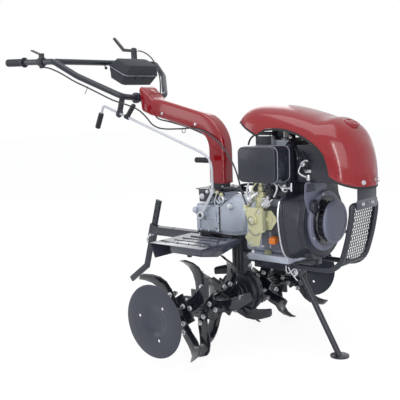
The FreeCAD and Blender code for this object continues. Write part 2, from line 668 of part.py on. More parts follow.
def even_outline(x, points):
    """A smooth closed line across the machine, level at its foot and top, in a right and a left half."""
    half = len(points) // 2
    edges = []
    for run, way in ((points[:half + 1], 1), (points[half:] + points[:1], -1)):
        curve = Part.BSplineCurve()
        curve.interpolate(Points=[Vector(x, y, z) for y, z in run], InitialTangent=Vector(0, 100 * way, 0),
                          FinalTangent=Vector(0, -100 * way, 0))
        edges.append(curve.toShape())
    return Part.Wire(edges)


def fan_shroud():
    """Black blower housing: a broad flange narrowing to a round drum, with a cowl up the cylinder's front."""
    radius = size("shroud_radius")
    crank = size("crank_height")
    back = size("shroud_back")
    front = size("shroud_front")
    drum = size("shroud_drum")
    flange_back = size("block_front") + 0.3
    outline = SHROUD_FLANGE + [(-y, z) for y, z in SHROUD_FLANGE[-2:0:-1]]
    angles = [math.atan2(z - crank, y) for y, z in outline]
    circle = [(radius * math.cos(angle), crank + radius * math.sin(angle)) for angle in angles]
    stations = [even_outline(flange_back, outline), even_outline(back, outline), even_outline(drum, circle),
                even_outline(front, circle)]
    housing = Part.makeLoft(stations, True, True)
    half = size("pedestal_half")
    seat_tall = size("shroud_high") - crank
    pedestal = Part.makeBox(front - back - 4, 2 * half, seat_tall, Vector(back, -half, crank))
    thick = size("cowl_thick")
    near = size("cowl_near")
    wide = size("cowl_far") - near
    low = size("block_high") + 0.3
    cowl = Part.makeBox(thick, wide, size("cowl_high") - low, Vector(back - 2 - thick, near, low))
    top_edges = [edge for edge in cowl.Edges
                 if edge.CenterOfMass.z > low + thick and abs(edge.tangentAt(0).x) > 0.9]
    cowl = cowl.makeFillet(size("filter_corner"), top_edges)
    inset = 10
    foot = Part.makeBox(back - flange_back - 1, wide - 2 * inset, 90,
                        Vector(flange_back, near + inset, low - 50))
    return housing.multiFuse([pedestal, cowl, foot])


node("fan_shroud", drawn(fan_shroud()))

starter_back = "shroud_front + 0.3"
starter_ring = bar(starter_back, "0", "crank_height", "starter_ring_radius", "starter_ring_thick", "x")
starter_cup = bar(starter_back, "0", "crank_height", "starter_radius", "starter_front - (%s)" % starter_back,
                  "x")
node("recoil_starter", joined(starter_ring, starter_cup))

filter_box = rounded_block("filter_box", "filter_back", "filter_near", "filter_low",
                           "filter_front - filter_back", "filter_far - filter_near",
                           "filter_high - filter_low", "filter_corner", Z_EDGES)
filter_neck = bar("(filter_back + filter_front) / 2", "filter_far - 1", "barrel_high - 40", "24",
                  "-barrel_half - filter_far + 0.7", "y")
node("air_cleaner", joined(filter_box, filter_neck))

muffler_box = rounded_block("muffler_box", "muffler_back", "muffler_near", "muffler_low",
                            "muffler_front - muffler_back", "muffler_far - muffler_near",
                            "muffler_high - muffler_low", "filter_corner", Z_EDGES)
muffler_neck = bar("(muffler_back + muffler_front) / 2", "barrel_half + 0.3", "barrel_high - 40", "20",
                   "muffler_near - barrel_half", "y")
tail_pipe = bar("muffler_back - 30", "(muffler_near + muffler_far) / 2", "muffler_low + 40", "13", "40", "x")
node("exhaust_box", joined(muffler_box, muffler_neck, tail_pipe))

tank_body = rounded_block("tank_body", "tank_back", "-tank_half", "tank_low", "tank_front - tank_back",
                          "2 * tank_half", "tank_high - tank_low", "tank_corner", Z_EDGES)
tank_neck = bar("tank_front - tank_neck_inset", "0", "tank_high - 1", "tank_neck_radius", "tank_neck_tall")
node("fuel_tank", joined(tank_body, tank_neck))

pump_body = block("pump_back", "pump_near", "block_high - 60", "90", "-block_half - pump_near - 0.3", "72")
pump_dome = bar("pump_back + 45", "pump_near + 20", "block_high + 10", "17", "32", "z")
node("injection_pump", joined(pump_body, pump_dome))


def governor_plate():
    """Zinc plated governor plate with its adjusting lobe, on a spacer from the crankcase."""
    near = size("governor_near")
    thick = size("governor_thick")
    corner = Vector(size("bell_front"), 0, size("crank_height"))

    def plate(points, y):
        return side_plate([(corner.x + x, corner.z + z) for x, z in points], y, thick)

    step_in = 12
    face = plate([(37, 56), (122, 60), (146, 42), (139, -35), (124, -40), (109, -96), (65, -97), (41, -64),
                  (60, -42), (57, 0)], near)
    lobe = plate([(137, 47), (164, 49), (189, 20), (189, 8), (162, -27), (137, -29)], near + step_in)
    knob = Part.makeCylinder(17, 12, corner + Vector(88, near - 12, 11), Vector(0, 1, 0))
    spacer = Part.makeBox(70, -size("block_half") - 0.3 - near - thick, 60,
                          corner + Vector(66, near + thick, -30))
    link = Part.makeBox(12, step_in + thick, 56, corner + Vector(132, near, -19))
    lug = size("cable_lug")
    cable_lug = Part.makeBox(lug, lug + 2, lug, corner + Vector(36, near, size("cable_end_drop")))
    return face.multiFuse([lobe, knob, spacer, link, cable_lug])


node("governor_plate", drawn(governor_plate()))

# ---------------------------------------------------------------- hood
# Crown of the hood, from its back tip to where its nose begins: shares of its length and height.
HOOD_CROWN = [(0.0, 0.79), (0.08, 0.963), (0.26, 1.0), (0.44, 0.955), (0.684, 0.832)]
# Its lower edge, from the front back to the tip, with the arch over the air cleaner.
HOOD_EDGE = [(1.0, 0.0), (0.952, 0.012), (0.905, 0.045), (0.856, 0.083), (0.812, 0.14), (0.798, 0.29),
             (0.78, 0.395), (0.748, 0.47), (0.706, 0.535), (0.646, 0.60), (0.585, 0.65), (0.498, 0.697),
             (0.408, 0.715), (0.32, 0.703), (0.253, 0.632), (0.08, 0.80), (-0.02, 0.79)]
# Powers that make its cross sections: broad and steep at the sides, round as an egg at the nose.
CROWN_POWER = 2.4
SIDE_POWER = 7.9
NOSE_POWER = 2.1
TAIL_SECTIONS = 12
NOSE_SECTIONS = 9
SECTION_POINTS = 21


def hood_point(share):
    """Forward and height of a point given as shares of the hood's length and height."""
    along, up = share
    return (size("hood_back") + along * size("hood_front - hood_back"),
            size("hood_low") + up * size("hood_crest - hood_low"))


def hood_section(x, half, rise, ahead, shrink, low):
    """One cross section of the hood: ahead is 0 up to the nose and 1 at its tip."""
    base = size("hood_low")
    arch = []
    for step in range(SECTION_POINTS):
        across = math.sin(math.pi * (step / (SECTION_POINTS - 1) - 0.5))
        reach = math.sqrt(ahead ** 2 + across ** 2 * (1 - ahead ** 2))
        turn = math.atan2(abs(across) * math.sqrt(1 - ahead ** 2), ahead) / (math.pi / 2)
        power = NOSE_POWER + (SIDE_POWER - NOSE_POWER) * turn ** 2
        up = max(1 - min(reach, 1) ** CROWN_POWER, 0) ** (1 / power)
        arch.append(Vector(x, across * half, base + up * (rise - shrink)))
    curve = Part.BSplineCurve()
    curve.interpolate(arch)
    rest = Part.makePolygon([arch[-1], Vector(x, half, low), Vector(x, -half, low), arch[0]])
    return Part.Wire([curve.toShape()] + rest.Edges)


def hood_form(shrink, low):
    """The hood as a full body, shrunk inwards and closed at a low level: a loft from its tail to its nose."""
    crown = Part.BSplineCurve()
    crown.interpolate([Vector(x, 0, z) for x, z in map(hood_point, HOOD_CROWN)])
    base = size("hood_low")
    back = size("hood_back") + shrink
    nose = size("hood_nose") - shrink
    hinge = size("hood_front - hood_nose")
    half = size("hood_half") - shrink
    tail = size("hood_tail_half / hood_half")
    sections = []
    for step in range(TAIL_SECTIONS):
        x = back + (hinge - back) * step / TAIL_SECTIONS
        height = crown.value(crown.parameter(crown_top(crown, x))).z
        narrow = min(max((size("hood_back + hood_tail_long") - x) / size("hood_tail_long"), 0), 1)
        width = half * (tail + (1 - tail) * math.sqrt(1 - narrow ** 2))
        sections.append(hood_section(x, width, height - base, 0, shrink, low))
    rise = crown.EndPoint.z - base
    for step in range(NOSE_SECTIONS):
        turn = math.pi / 2 * step / (NOSE_SECTIONS - 0.9)
        x = hinge + nose * math.sin(turn)
        sections.append(hood_section(x, half * math.cos(turn), rise, math.sin(turn), shrink, low))
    return Part.makeLoft(sections, True, False)


def crown_top(crown, x):
    """The point of the crown's curve at a place along the hood."""
    plane = Part.Plane(Vector(x, 0, 0), Vector(1, 0, 0))
    return Vector(*[(p.X, p.Y, p.Z) for p in crown.intersect(plane)[0]][0])


def hood_opening(drop):
    """Everything under the hood's lower edge, lowered by drop."""
    wide = size("hood_half") + 60
    line = [hood_point(share) for share in HOOD_EDGE]
    ahead = size("hood_front") + 50
    behind = size("hood_back") - 100
    below = size("hood_low") - 300
    edge = [(ahead, line[0][1])] + line + [(behind, line[-1][1]), (behind, below), (ahead, below)]
    return side_plate([(x, z - drop) for x, z in edge], -wide, 2 * wide)


shell = hood_form(0, size("hood_low") - 140).cut(hood_form(size("hood_wall"), size("hood_low") - 160))
hood_skin = shell.cut(hood_opening(0))
hood_edging = shell.common(hood_opening(0.3)).cut(hood_opening(size("hood_trim")))
node("hood", drawn(hood_skin.Solids[0]))
node("hood_edging", drawn(hood_edging.Solids[0]))

# ---------------------------------------------------------------- frame, guard and stand
rails = []
rail_tall = "rail_high - rail_low"
for y in ("rail_inner", "-rail_inner - rail_wide"):
    rails.append(block("rail_back", y, "rail_low", "rail_front - rail_back", "rail_wide", rail_tall))
spine = block("leg_front + 0.3", "-leg_half", "rail_low", "rail_back + 20 - leg_front - 0.3", "2 * leg_half",
              rail_tall)
cross_back = block("rail_back", "-rail_inner - 1", "rail_low", "40", "2 * rail_inner + 2", rail_tall)
cross_front = block("stand_pivot_x - 40", "-rail_inner - 1", "rail_low + 4", "80", "2 * rail_inner + 2",
                    "%s - 4" % rail_tall)
ears = []
ear_inner = "stand_eye_half + side_gap"
for y in (ear_inner, "-(%s) - ear_thick" % ear_inner):
    ears.append(block("stand_pivot_x - stand_eye_radius", y, "stand_pivot_z - stand_eye_radius",
                      "2 * stand_eye_radius", "ear_thick",
                      "rail_low + 6 - stand_pivot_z + stand_eye_radius"))
ear_pin = bar("stand_pivot_x", "-(%s) - ear_thick - 4" % ear_inner, "stand_pivot_z", "stand_pin_radius",
              "2 * (%s + ear_thick + 4)" % ear_inner, "y")
node("frame", joined(*rails, spine, cross_back, cross_front, *ears, ear_pin))

guard_tubes = []
for side in (-1, 1):
    y = side * size("guard_half")
    route = [(size("rail_front") + 0.3, y, size("guard_foot")),
             (size("guard_nose") + 30, y, size("guard_foot")),
             (size("guard_mid_x"), y, size("guard_mid_z")),
             (size("guard_top_x"), y, size("guard_top_z"))]
    guard_tubes.append(tube(route, [size("guard_bend"), size("guard_slow_bend")], size("guard_radius")))
guard_bar_end = Vector(size("guard_nose"), -size("guard_half"), size("guard_foot"))
guard_bar = Part.makeCylinder(size("guard_radius"), size("2 * guard_half"), guard_bar_end, Vector(0, 1, 0))
guard_shape = guard_tubes[0].multiFuse([guard_tubes[1], guard_bar])


def guard_mesh():
    """Expanded metal between the guard's tubes: two sets of slanted strands joined at their crossings."""
    half = size("guard_half - guard_radius") + 1
    low = Vector(size("guard_nose") + 36, 0, size("guard_foot") + 26)
    high = Vector(size("guard_top_x") - 2, 0, size("guard_top_z") - 14)
    up = (high - low).normalize()
    out = Vector(0, 1, 0).cross(up)
    tall = (high - low).Length
    wide = size("mesh_strand")
    thick = out * size("mesh_thick")
    pitch = size("mesh_pitch")

    def window(inset):
        corners = [(-1, low, 1), (1, low, 1), (1, high, -1), (-1, high, -1)]
        points = [end + Vector(0, side * (half - inset), 0) + up * (inward * inset)
                  for side, end, inward in corners]
        return Part.Face(flat_wire(points)).extrude(thick)

    strands = []
    count = math.ceil((half + tall) / pitch)
    for lean in (1, -1):
        slope = math.radians(size("mesh_slope")) * lean
        along = Vector(0, 1, 0) * math.cos(slope) + up * math.sin(slope)
        edge = out.cross(along).normalize() * (wide / 2)
        end = along * tall
        for step in range(-count, count + 1):
            middle = low + up * (tall / 2) + Vector(0, step * pitch, 0)
            corners = [middle - end - edge, middle + end - edge, middle + end + edge, middle - end + edge]
            strands.append(Part.Face(flat_wire(corners)).extrude(thick))
    mesh = strands[0].multiFuse(strands[1:]).common(window(0))
    return mesh.fuse(window(0).cut(window(size("mesh_rim"))))


mesh_shape = guard_mesh()
node("guard_frame", drawn(guard_shape.cut(mesh_shape)))
node("guard_mesh", drawn(mesh_shape))

top_plate = block("guard_top_x + guard_radius + 0.3", "-guard_half", "guard_top_z - 24", "lamp_plate_thick",
                  "2 * guard_half", "38")
lamp_holes = [bar("guard_top_x + guard_radius - 4", y, "guard_top_z - 3", "lamp_hole_radius",
                  "lamp_plate_thick + 8", "x")
              for y in ("lamp_hole_step / 2", "-lamp_hole_step / 2")]
strut_high = "hood_low + 30"
hood_strut = block("guard_top_x + guard_radius + 0.3", "-strut_half", "guard_top_z + 13", "lamp_plate_thick",
                   "2 * strut_half", "%s - guard_top_z - 13" % strut_high)
strut_reach = block("guard_top_x + guard_radius + 1", "-shelf_half", "%s - shelf_thick" % strut_high, "200",
                    "2 * shelf_half", "shelf_thick")
inside_hood = drawn(hood_form(size("hood_wall") + 0.3, size("hood_low") - 100))
strut_shelf = doc.addObject("Part::MultiCommon", "strut_shelf")
strut_shelf.Shapes = [strut_reach, inside_hood]
node("lamp_plate", carved(joined(top_plate, hood_strut, strut_shelf), *lamp_holes))


def hood_bracket():
    """Bent sheet on the rocker cover that carries the back of the hood."""
    low = size("rocker_high") + 0.3
    back = size("barrel_back") + 45
    half = size("bracket_half")
    thick = size("bracket_thick")
    sheet = Part.makeBox(size("bracket_long"), 2 * half, 300, Vector(back, -half, low))
    inside = Part.makeBox(size("bracket_long") + 2, 2 * half - 2 * thick, 300,
                          Vector(back - 1, thick - half, low + thick))
    return sheet.cut(inside).common(hood_form(size("hood_wall") + 0.3, size("hood_low") - 100))


node("hood_bracket", drawn(hood_bracket()))


def stand():
    """Leg from its pivot eye down and forward to a round foot plate."""
    pivot = Vector(size("stand_pivot_x"), 0, size("stand_pivot_z"))
    ground = size("ground")
    foot = Vector(size("stand_foot_x"), 0, ground)
    thick = size("stand_foot_thick")
    half = size("stand_eye_half")
    eye = Part.makeCylinder(size("stand_eye_radius"), 2 * half, pivot - Vector(0, half, 0), Vector(0, 1, 0))
    heading = foot - pivot
    leg = Part.makeCylinder(size("stand_radius"), heading.Length, pivot, heading)
    leg = leg.cut(Part.makeBox(400, 400, 200, Vector(foot.x - 200, -200, ground - 200 + thick / 2)))
    plate = Part.makeCylinder(size("stand_foot_radius"), thick, foot, Vector(0, 0, 1))
    whole = eye.multiFuse([leg, plate])
    across = Vector(0, 1, 0)
    hole = Part.makeCylinder(size("stand_pin_radius + pin_gap"), 4 * half, pivot - across * 2 * half, across)
    return whole.cut(hole)


node("front_stand", drawn(stand()))

# ---------------------------------------------------------------- fenders
def fender(side):
    """Sheet over one reel: flat top with pressed ribs, side flange turned down, and a slanted back flap."""
    back = size("fender_back")
    long = size("fender_front") - back
    inner = size("fender_inner")
    outer_edge = size("fender_outer")
    wide = outer_edge - inner
    top = size("fender_high")
    thick = size("fender_thick")
    lip_low = top - size("fender_lip")
    sheet_top = Part.makeBox(long, wide, thick, Vector(back, inner, top - thick))
    lip = Part.makeBox(long, thick, size("fender_lip"), Vector(back, outer_edge - thick, lip_low))
    flap_low = top - size("fender_flap")
    flap_run = size("fender_flap_run")
    flap = side_plate([(back, top), (back + thick, top - thick), (back + thick + flap_run, flap_low),
                       (back + flap_run, flap_low)], inner, wide)
    margin = 45
    ribs = []
    for rib in range(4):
        foot = Vector(back + margin, inner + margin + rib * size("fender_rib_step"), top - 1)
        ribs.append(Part.makeBox(long - 2 * margin, size("fender_rib"), 4, foot))
    whole = sheet_top.multiFuse([lip, flap] + ribs)
    if side < 0:
        whole = whole.mirror(Vector(), Vector(0, 1, 0))
    return whole


node("fender_left", drawn(fender(1)))
node("fender_right", drawn(fender(-1)))
stay_under = "fender_high - fender_thick - 0.3"
stay = block("stay_back", "-stay_half", "%s - stay_tall" % stay_under, "stay_deep", "2 * stay_half",
             "stay_tall")
stay_pad = block("stay_back", "-turret_half", "%s - 6" % stay_under, "stay_deep", "2 * turret_half",
                 "gear_low - 0.3 - (%s) + 6" % stay_under)
node("fender_stay", joined(stay, stay_pad))

# ---------------------------------------------------------------- hitch and depth bar
lean = math.radians(size("depth_lean"))
bar_up = Vector(math.sin(lean), 0, math.cos(lean))
bar_top = Vector(size("depth_top_x"), 0, size("depth_top"))
bar_bend = bar_top - bar_up * ((size("depth_top") - size("depth_bend_z")) / math.cos(lean))
bar_tip = Vector(size("depth_tip_x"), 0, size("depth_tip_z"))


def depth_bar():
    """Flat bar with a row of pin holes, cranked backwards at its lower end."""
    half_deep = size("depth_deep") / 2
    half = size("depth_half")
    out = Vector(0, 1, 0).cross(bar_up)
    tail = (bar_tip - bar_bend).normalize()
    tail_out = Vector(0, 1, 0).cross(tail * -1)
    knee = (out + tail_out).normalize()
    reach = half_deep / knee.dot(out)
    points = [bar_top + out * half_deep, bar_bend + knee * reach, bar_tip + tail_out * half_deep,
              bar_tip - tail_out * half_deep, bar_bend - knee * reach, bar_top - out * half_deep]
    wire = flat_wire([p - Vector(0, half, 0) for p in points])
    whole = Part.Face(wire).extrude(Vector(0, 2 * half, 0))
    for step in range(5):
        centre = bar_top - bar_up * (20 + step * size("depth_hole_step"))
        hole = Part.makeCylinder(size("depth_hole_radius"), 4 * half, centre - Vector(0, 2 * half, 0),
                                 Vector(0, 1, 0))
        whole = whole.cut(hole)
    return whole


node("depth_bar", drawn(depth_bar()))


def drawbar():
    """Square draw tube with a leaning socket for the depth bar and a pin hole for tools."""
    back = size("hitch_back")
    low = size("hitch_low")
    high = size("hitch_high")
    half = size("hitch_half")
    draw = Part.makeBox(size("gear_back") - 0.3 - back, 2 * half, high - low, Vector(back, -half, low))
    flange_half = half + 30
    flange = Part.makeBox(10, 2 * flange_half, high - low + 64,
                          Vector(size("gear_back") - 10.3, -flange_half, low))
    hole_half_deep = size("depth_deep") / 2 + size("socket_gap")
    hole_half = size("depth_half + socket_gap")
    wall = size("socket_wall")
    out = Vector(0, 1, 0).cross(bar_up)

    def prism(deep, wide, low_z, high_z):
        along = bar_top - bar_up * ((bar_top.z - low_z) / bar_up.z)
        rise = bar_up * ((high_z - low_z) / bar_up.z)
        wire = flat_wire([along + out * deep + Vector(0, -wide, 0), along + out * deep + Vector(0, wide, 0),
                          along - out * deep + Vector(0, wide, 0), along - out * deep + Vector(0, -wide, 0)])
        return Part.Face(wire).extrude(rise)

    socket = prism(hole_half_deep + wall, hole_half + wall, size("socket_low"), size("socket_high"))
    clear = prism(hole_half_deep, hole_half, size("socket_low") - 60, size("socket_high") + 60)
    pin_foot = Vector(size("hitch_pin_x"), 0, low - half)
    pin_hole = Part.makeCylinder(size("hitch_pin_radius"), high - low + 2 * half, pin_foot, Vector(0, 0, 1))
    return draw.multiFuse([flange, socket]).cut(clear).cut(pin_hole)


node("drawbar", drawn(drawbar()))

# ---------------------------------------------------------------- handle column
bend_centre = Vector(size("column_x - column_bend"), 0, size("column_bend_z"))
rise = math.radians(size("column_rise"))
run_way = Vector(-math.cos(rise), 0, math.sin(rise))
run_up = Vector(math.sin(rise), 0, math.cos(rise))
run_start = bend_centre + run_up * size("column_bend")
run_end = run_start + run_way * size("column_run")


def column(shrink, extra):
    """The bent box section of the column, grown inwards by shrink and longer by extra at both ends."""
    bend = size("column_bend")
    foot = Vector(size("column_x"), 0, size("column_foot") - extra)
    knee = Vector(size("column_x"), 0, size("column_bend_z"))
    middle_angle = (math.pi / 2 - rise) / 2
    middle = bend_centre + Vector(math.cos(middle_angle), 0, math.sin(middle_angle)) * bend
    path = Part.Wire([Part.LineSegment(foot, knee).toShape(), Part.Arc(knee, middle, run_start).toShape(),
                      Part.LineSegment(run_start, run_end + run_way * extra).toShape()])
    deep = size("column_deep") / 2 - shrink
    half = size("column_half") - shrink
    corner = size("column_corner") - shrink
    section = Part.makeBox(2 * deep, 2 * half, 1, foot - Vector(deep, half, 0))
    edges = [e for e in section.Edges if abs(e.tangentAt(0).z) > 0.9]
    section = section.makeFillet(corner, edges)
    ring = [f for f in section.Faces if f.normalAt(0, 0).z < -0.9][0].OuterWire
    return path.makePipeShell([ring], True, False, 1)


column_shape = column(0, 0).cut(column(size("column_wall"), 5))
node("handle_column", drawn(column_shape))


def rounded_ring(centre, up, half, tall, corner):
    """A rounded rectangle about a centre: half and tall are its half width and half height."""
    bulge = corner * (1 - math.sqrt(0.5))

    def spot(y, z):
        return centre + Vector(0, y, 0) + up * z

    edges = []
    for side_y, side_z in ((1, 1), (-1, 1), (-1, -1), (1, -1)):
        turn = [(side_y * half, side_z * (tall - corner)), (side_y * (half - bulge), side_z * (tall - bulge)),
                (side_y * (half - corner), side_z * tall)]
        if side_y * side_z < 0:
            turn.reverse()
        edges.append([spot(*point) for point in turn])
    shapes = []
    for index, turn in enumerate(edges):
        shapes.append(Part.Arc(*turn).toShape())
        shapes.append(Part.LineSegment(turn[2], edges[(index + 1) % 4][0]).toShape())
    return Part.Wire(shapes)


mouth_top = Vector(size("head_back"), 0, size("head_high"))
mouth_low = Vector(size("head_back + head_lean"), 0, size("head_low"))
mouth_middle = (mouth_top + mouth_low) * 0.5
mouth_up = (mouth_top - mouth_low).normalize()
mouth_out = Vector(-mouth_up.z, 0, mouth_up.x)
mouth_tall = (mouth_top - mouth_low).Length / 2


def column_head(shrink):
    """The head: rises and widens from the column's section to its mouth at the handlebar's hub."""
    corner = size("head_corner") - shrink
    back = Vector(-shrink / 2, 0, 0)
    neck = Vector(size("neck_x"), 0, size("neck_high"))
    neck_heel = Vector(size("neck_x") + 14, 0, size("neck_low"))
    crest = Vector(size("head_crest"), 0, size("head_high") - 1)
    heel = Vector(size("head_crest") + 44, 0, size("head_low") - 4)
    rings = [rounded_ring(run_end + run_way * (0.3 - shrink / 10), run_up, size("column_half") - shrink,
                          size("column_deep") / 2 - shrink, size("column_corner") - shrink)]
    for top, low, half in ((neck, neck_heel, size("neck_half")), (crest, heel, size("head_crest_half"))):
        rings.append(rounded_ring((top + low) * 0.5 + back, (top - low).normalize(), half - shrink,
                                  (top - low).Length / 2 - shrink, corner))
    rings.append(rounded_ring(mouth_middle + mouth_out * shrink / 10, mouth_up, size("head_half") - shrink,
                              mouth_tall - shrink, corner))
    return Part.makeLoft(rings, True, True)


head = column_head(0).cut(column_head(size("column_wall")))
node("column_head", drawn(head))

collar = block("column_x - collar_half", "-collar_half", "turret_high + 0.3", "2 * collar_half",
               "2 * collar_half", "column_foot - turret_high - 0.6")
node("column_collar", collar)

# ---------------------------------------------------------------- handlebar
plate_thick = size("hub_plate_thick")
hub_ahead = 0.3 + plate_thick + size("hub_radius - hub_seat")
hub_middle = mouth_middle + mouth_up * size("hub_lift") + mouth_out * hub_ahead
hub_half = size("hub_half")


def hub_point(y):
    return hub_middle + Vector(0, y, 0)


def mouth_plate():
    """Plate that closes the head's mouth and carries the hub."""
    inset = 4
    ring = rounded_ring(mouth_middle + mouth_out * 0.3, mouth_up, size("head_half") - inset,
                        mouth_tall - inset, size("head_corner") - inset)
    return Part.Face(ring).extrude(mouth_out * plate_thick)


core_radius = size("hub_radius") - 9
ring_wide = size("hub_ring_wide")
ring_starts = (-hub_half, hub_half - ring_wide)
across = Vector(0, 1, 0)
hub_core = Part.makeCylinder(core_radius, 2 * hub_half, hub_point(-hub_half), across)
hub_rings = [Part.makeCylinder(size("hub_radius"), ring_wide, hub_point(y), across) for y in ring_starts]
web_half = size("web_half")
web_tall = size("web_tall")
web = Part.makeBox(size("hub_radius") + plate_thick - 1, 2 * web_half, web_tall,
                   Vector(0, -web_half, -web_tall / 2))
web.Placement = Placement(hub_middle, Rotation(Vector(1, 0, 0), mouth_out * -1))
node("handle_hub", drawn(hub_core.multiFuse(hub_rings + [web, mouth_plate()])))

ARM_CORNERS = [("knee_x", "knee_y", "knee_z"), ("bow_x", "bow_y", "bow_z"),
               ("elbow_x", "elbow_y", "elbow_z"), ("grip_x", "grip_y", "grip_z")]


def arm_route(side):
    start = hub_point(side * (hub_half - 8))
    return [tuple(start)] + [(size(x), side * size(y), size(z)) for x, y, z in ARM_CORNERS]


def arm(side, radius):
    return tube(arm_route(side), [size("knee_bend"), size("bow_bend"), size("elbow_bend")], radius)


hub_clear = Part.makeCylinder(core_radius + 0.3, 2 * hub_half + 2, hub_point(-hub_half - 1), across)
ring_clear = [Part.makeCylinder(size("hub_radius") + 0.3, ring_wide + 0.6, hub_point(y - 0.3), across)
              for y in ring_starts]
hub_clear = hub_clear.multiFuse(ring_clear)


def grip_line(side, start=0):
    """A point on a grip's axis, start from its outer end, and the grip's direction."""
    route = arm_route(side)
    end = Vector(*route[-1])
    way = (Vector(*route[-2]) - end).normalize()
    return end + way * start, way


cap_thick = size("grip_cap")
for side_name, side in (("left", 1), ("right", -1)):
    tip, way = grip_line(side, cap_thick + 0.3)
    shape = arm(side, size("tube_radius")).cut(hub_clear)
    shape = shape.cut(Part.makeCylinder(40, 40, tip - way * 40, way))
    node("handle_arm_" + side_name, drawn(shape))
    end, way = grip_line(side)
    long = size("grip_long")
    radius = size("grip_radius")
    flare_long = size("grip_flare")
    grip = Part.makeCylinder(radius, long, end, way)
    flare = Part.makeCone(radius, radius + 6, flare_long, end + way * (long - flare_long), way)
    hollow = Part.makeCylinder(size("tube_radius") + 0.3, long, end + way * cap_thick, way)
    node("hand_grip_" + side_name, drawn(grip.fuse(flare).cut(hollow)))

bar_end = size("elbow_y - tube_radius")
bar_start = Vector(size("elbow_x"), -bar_end, size("elbow_z"))
crossbar = Part.makeCylinder(size("tube_radius"), 2 * bar_end, bar_start, across)
for side in (-1, 1):
    crossbar = crossbar.cut(arm(side, size("tube_radius") + 0.3))
crossbar = max(crossbar.Solids, key=lambda solid: solid.Volume)
node("crossbar", drawn(crossbar))

# ---------------------------------------------------------------- toolbox
toolbox_edge = Vector(size("toolbox_x"), 0, size("toolbox_z"))
tilt = Placement(toolbox_edge, Rotation(Vector(0, 1, 0), size("toolbox_tilt")))


def chest(low, high, inset, back_inset, shrink):
    """A tapered box form in the toolbox's own slope: low and high are its levels from the seam."""
    cut = size("toolbox_corner")
    wires = []
    for level in (low, high):
        at_seam = abs(level) < 1
        draw_in = shrink + (0 if at_seam else inset)
        back = shrink + (0 if at_seam else back_inset)
        front = size("toolbox_long") - draw_in
        near = size("toolbox_near") + draw_in
        far = size("toolbox_far") - draw_in
        outline = [(back + cut, near), (front - cut, near), (front, near + cut), (front, far - cut),
                   (front - cut, far), (back + cut, far), (back, far - cut), (back, near + cut)]
        wires.append(flat_wire([Vector(x, y, level) for x, y in outline]))
    return Part.makeLoft(wires, True, True)


wall = size("toolbox_wall")
deep = size("toolbox_deep")
lid_gap = size("lid_gap")
tub_draft = size("tub_draft")
tub = chest(-deep, 0, tub_draft, tub_draft, 0).cut(chest(-deep + wall, 0.001, tub_draft, tub_draft, wall))
tub.Placement = tilt
hooks = []
hook_back = size("elbow_x - hook_reach")
hook_low = size("toolbox_z - hook_drop")
hook_wide = size("hook_wide")
seat_high = size("elbow_z - tube_radius") - 0.3
for y in (size("toolbox_near + hook_inset"), size("toolbox_far - hook_inset") - hook_wide):
    foot = Vector(hook_back, y, hook_low)
    hooks.append(Part.makeBox(size("toolbox_x") - hook_back, hook_wide, size("hook_thick"), foot))
    hooks.append(Part.makeBox(2 * size("hook_reach"), hook_wide, seat_high - hook_low, foot))
outside = chest(-deep, 0.3, tub_draft, tub_draft, wall / 2)
outside.Placement = tilt
hooks = [hook.cut(outside) for hook in hooks]
node("toolbox_tub", drawn(tub.multiFuse(hooks)))

lid_draft = size("lid_draft")
back_draft = size("lid_back_draft")
lid_tall = size("lid_tall")
lid_hollow = chest(lid_gap - 0.001, lid_tall - wall, lid_draft, back_draft, wall)
lid = chest(lid_gap, lid_tall, lid_draft, back_draft, 0).cut(lid_hollow)
lid.Placement = tilt
node("toolbox_lid", drawn(lid))

# ---------------------------------------------------------------- levers
def along_bar(side, x):
    """The point of a handlebar's straight end at a given distance forward, and its direction."""
    end, way = grip_line(side)
    return end + way * ((x - end.x) / way.x), way


clamp_inner = size("tube_radius") + 0.3
clamp_outer = clamp_inner + size("clamp_wall")
gland_radius = size("gland_radius")


def throttle_lever():
    """Thumb lever on a clamp round the right grip's tube, with the gland of its cable below."""
    centre, way = along_bar(-1, size("throttle_x"))
    clamp = Part.makeCylinder(clamp_outer, 30, centre, way)
    stem = Part.makeBox(24, 14, 22, centre + Vector(4, -7, clamp_inner + 2))
    gland = Part.makeCylinder(gland_radius, 26, centre + Vector(1.7, 0, -clamp_inner - 10), Vector(1, 0, 0))
    paddle = Part.makeBox(86, 16, 6, Vector(-70, -8, 0))
    paddle.rotate(Vector(), Vector(0, 1, 0), 20)
    paddle.translate(centre + Vector(10, 0, clamp_inner + 16))
    hollow = Part.makeCylinder(clamp_inner, 80, centre - way * 20, way)
    return clamp.multiFuse([stem, paddle, gland]).cut(hollow)


def clutch_lever():
    """Long hand lever that rises over the left grip, on a post clamped to its tube."""
    centre, way = along_bar(1, size("clutch_x"))
    half = 6
    pivot_high = 74
    clamp = Part.makeCylinder(clamp_outer, 36, centre, way)
    post = Part.makeBox(34, 2 * half, 62, centre + Vector(0, -half, clamp_inner + 1))
    pivot = Part.makeCylinder(17, 16, centre + Vector(17, -8, pivot_high), Vector(0, 1, 0))
    gland = Part.makeCylinder(gland_radius, 24, centre + Vector(17.7, 0, pivot_high), Vector(1, 0, 0))
    outline = [(18, 66), (18, 82), (-60, 92), (-132, 158), (-142, 150), (-66, 76)]
    blade = side_plate([(centre.x + x, centre.z + z) for x, z in outline], centre.y - half, 2 * half)
    hollow = Part.makeCylinder(clamp_inner, 90, centre - way * 20, way)
    return clamp.multiFuse([post, pivot, blade, gland]).cut(hollow)


node("throttle_lever", drawn(throttle_lever()))
node("clutch_lever", drawn(clutch_lever()))

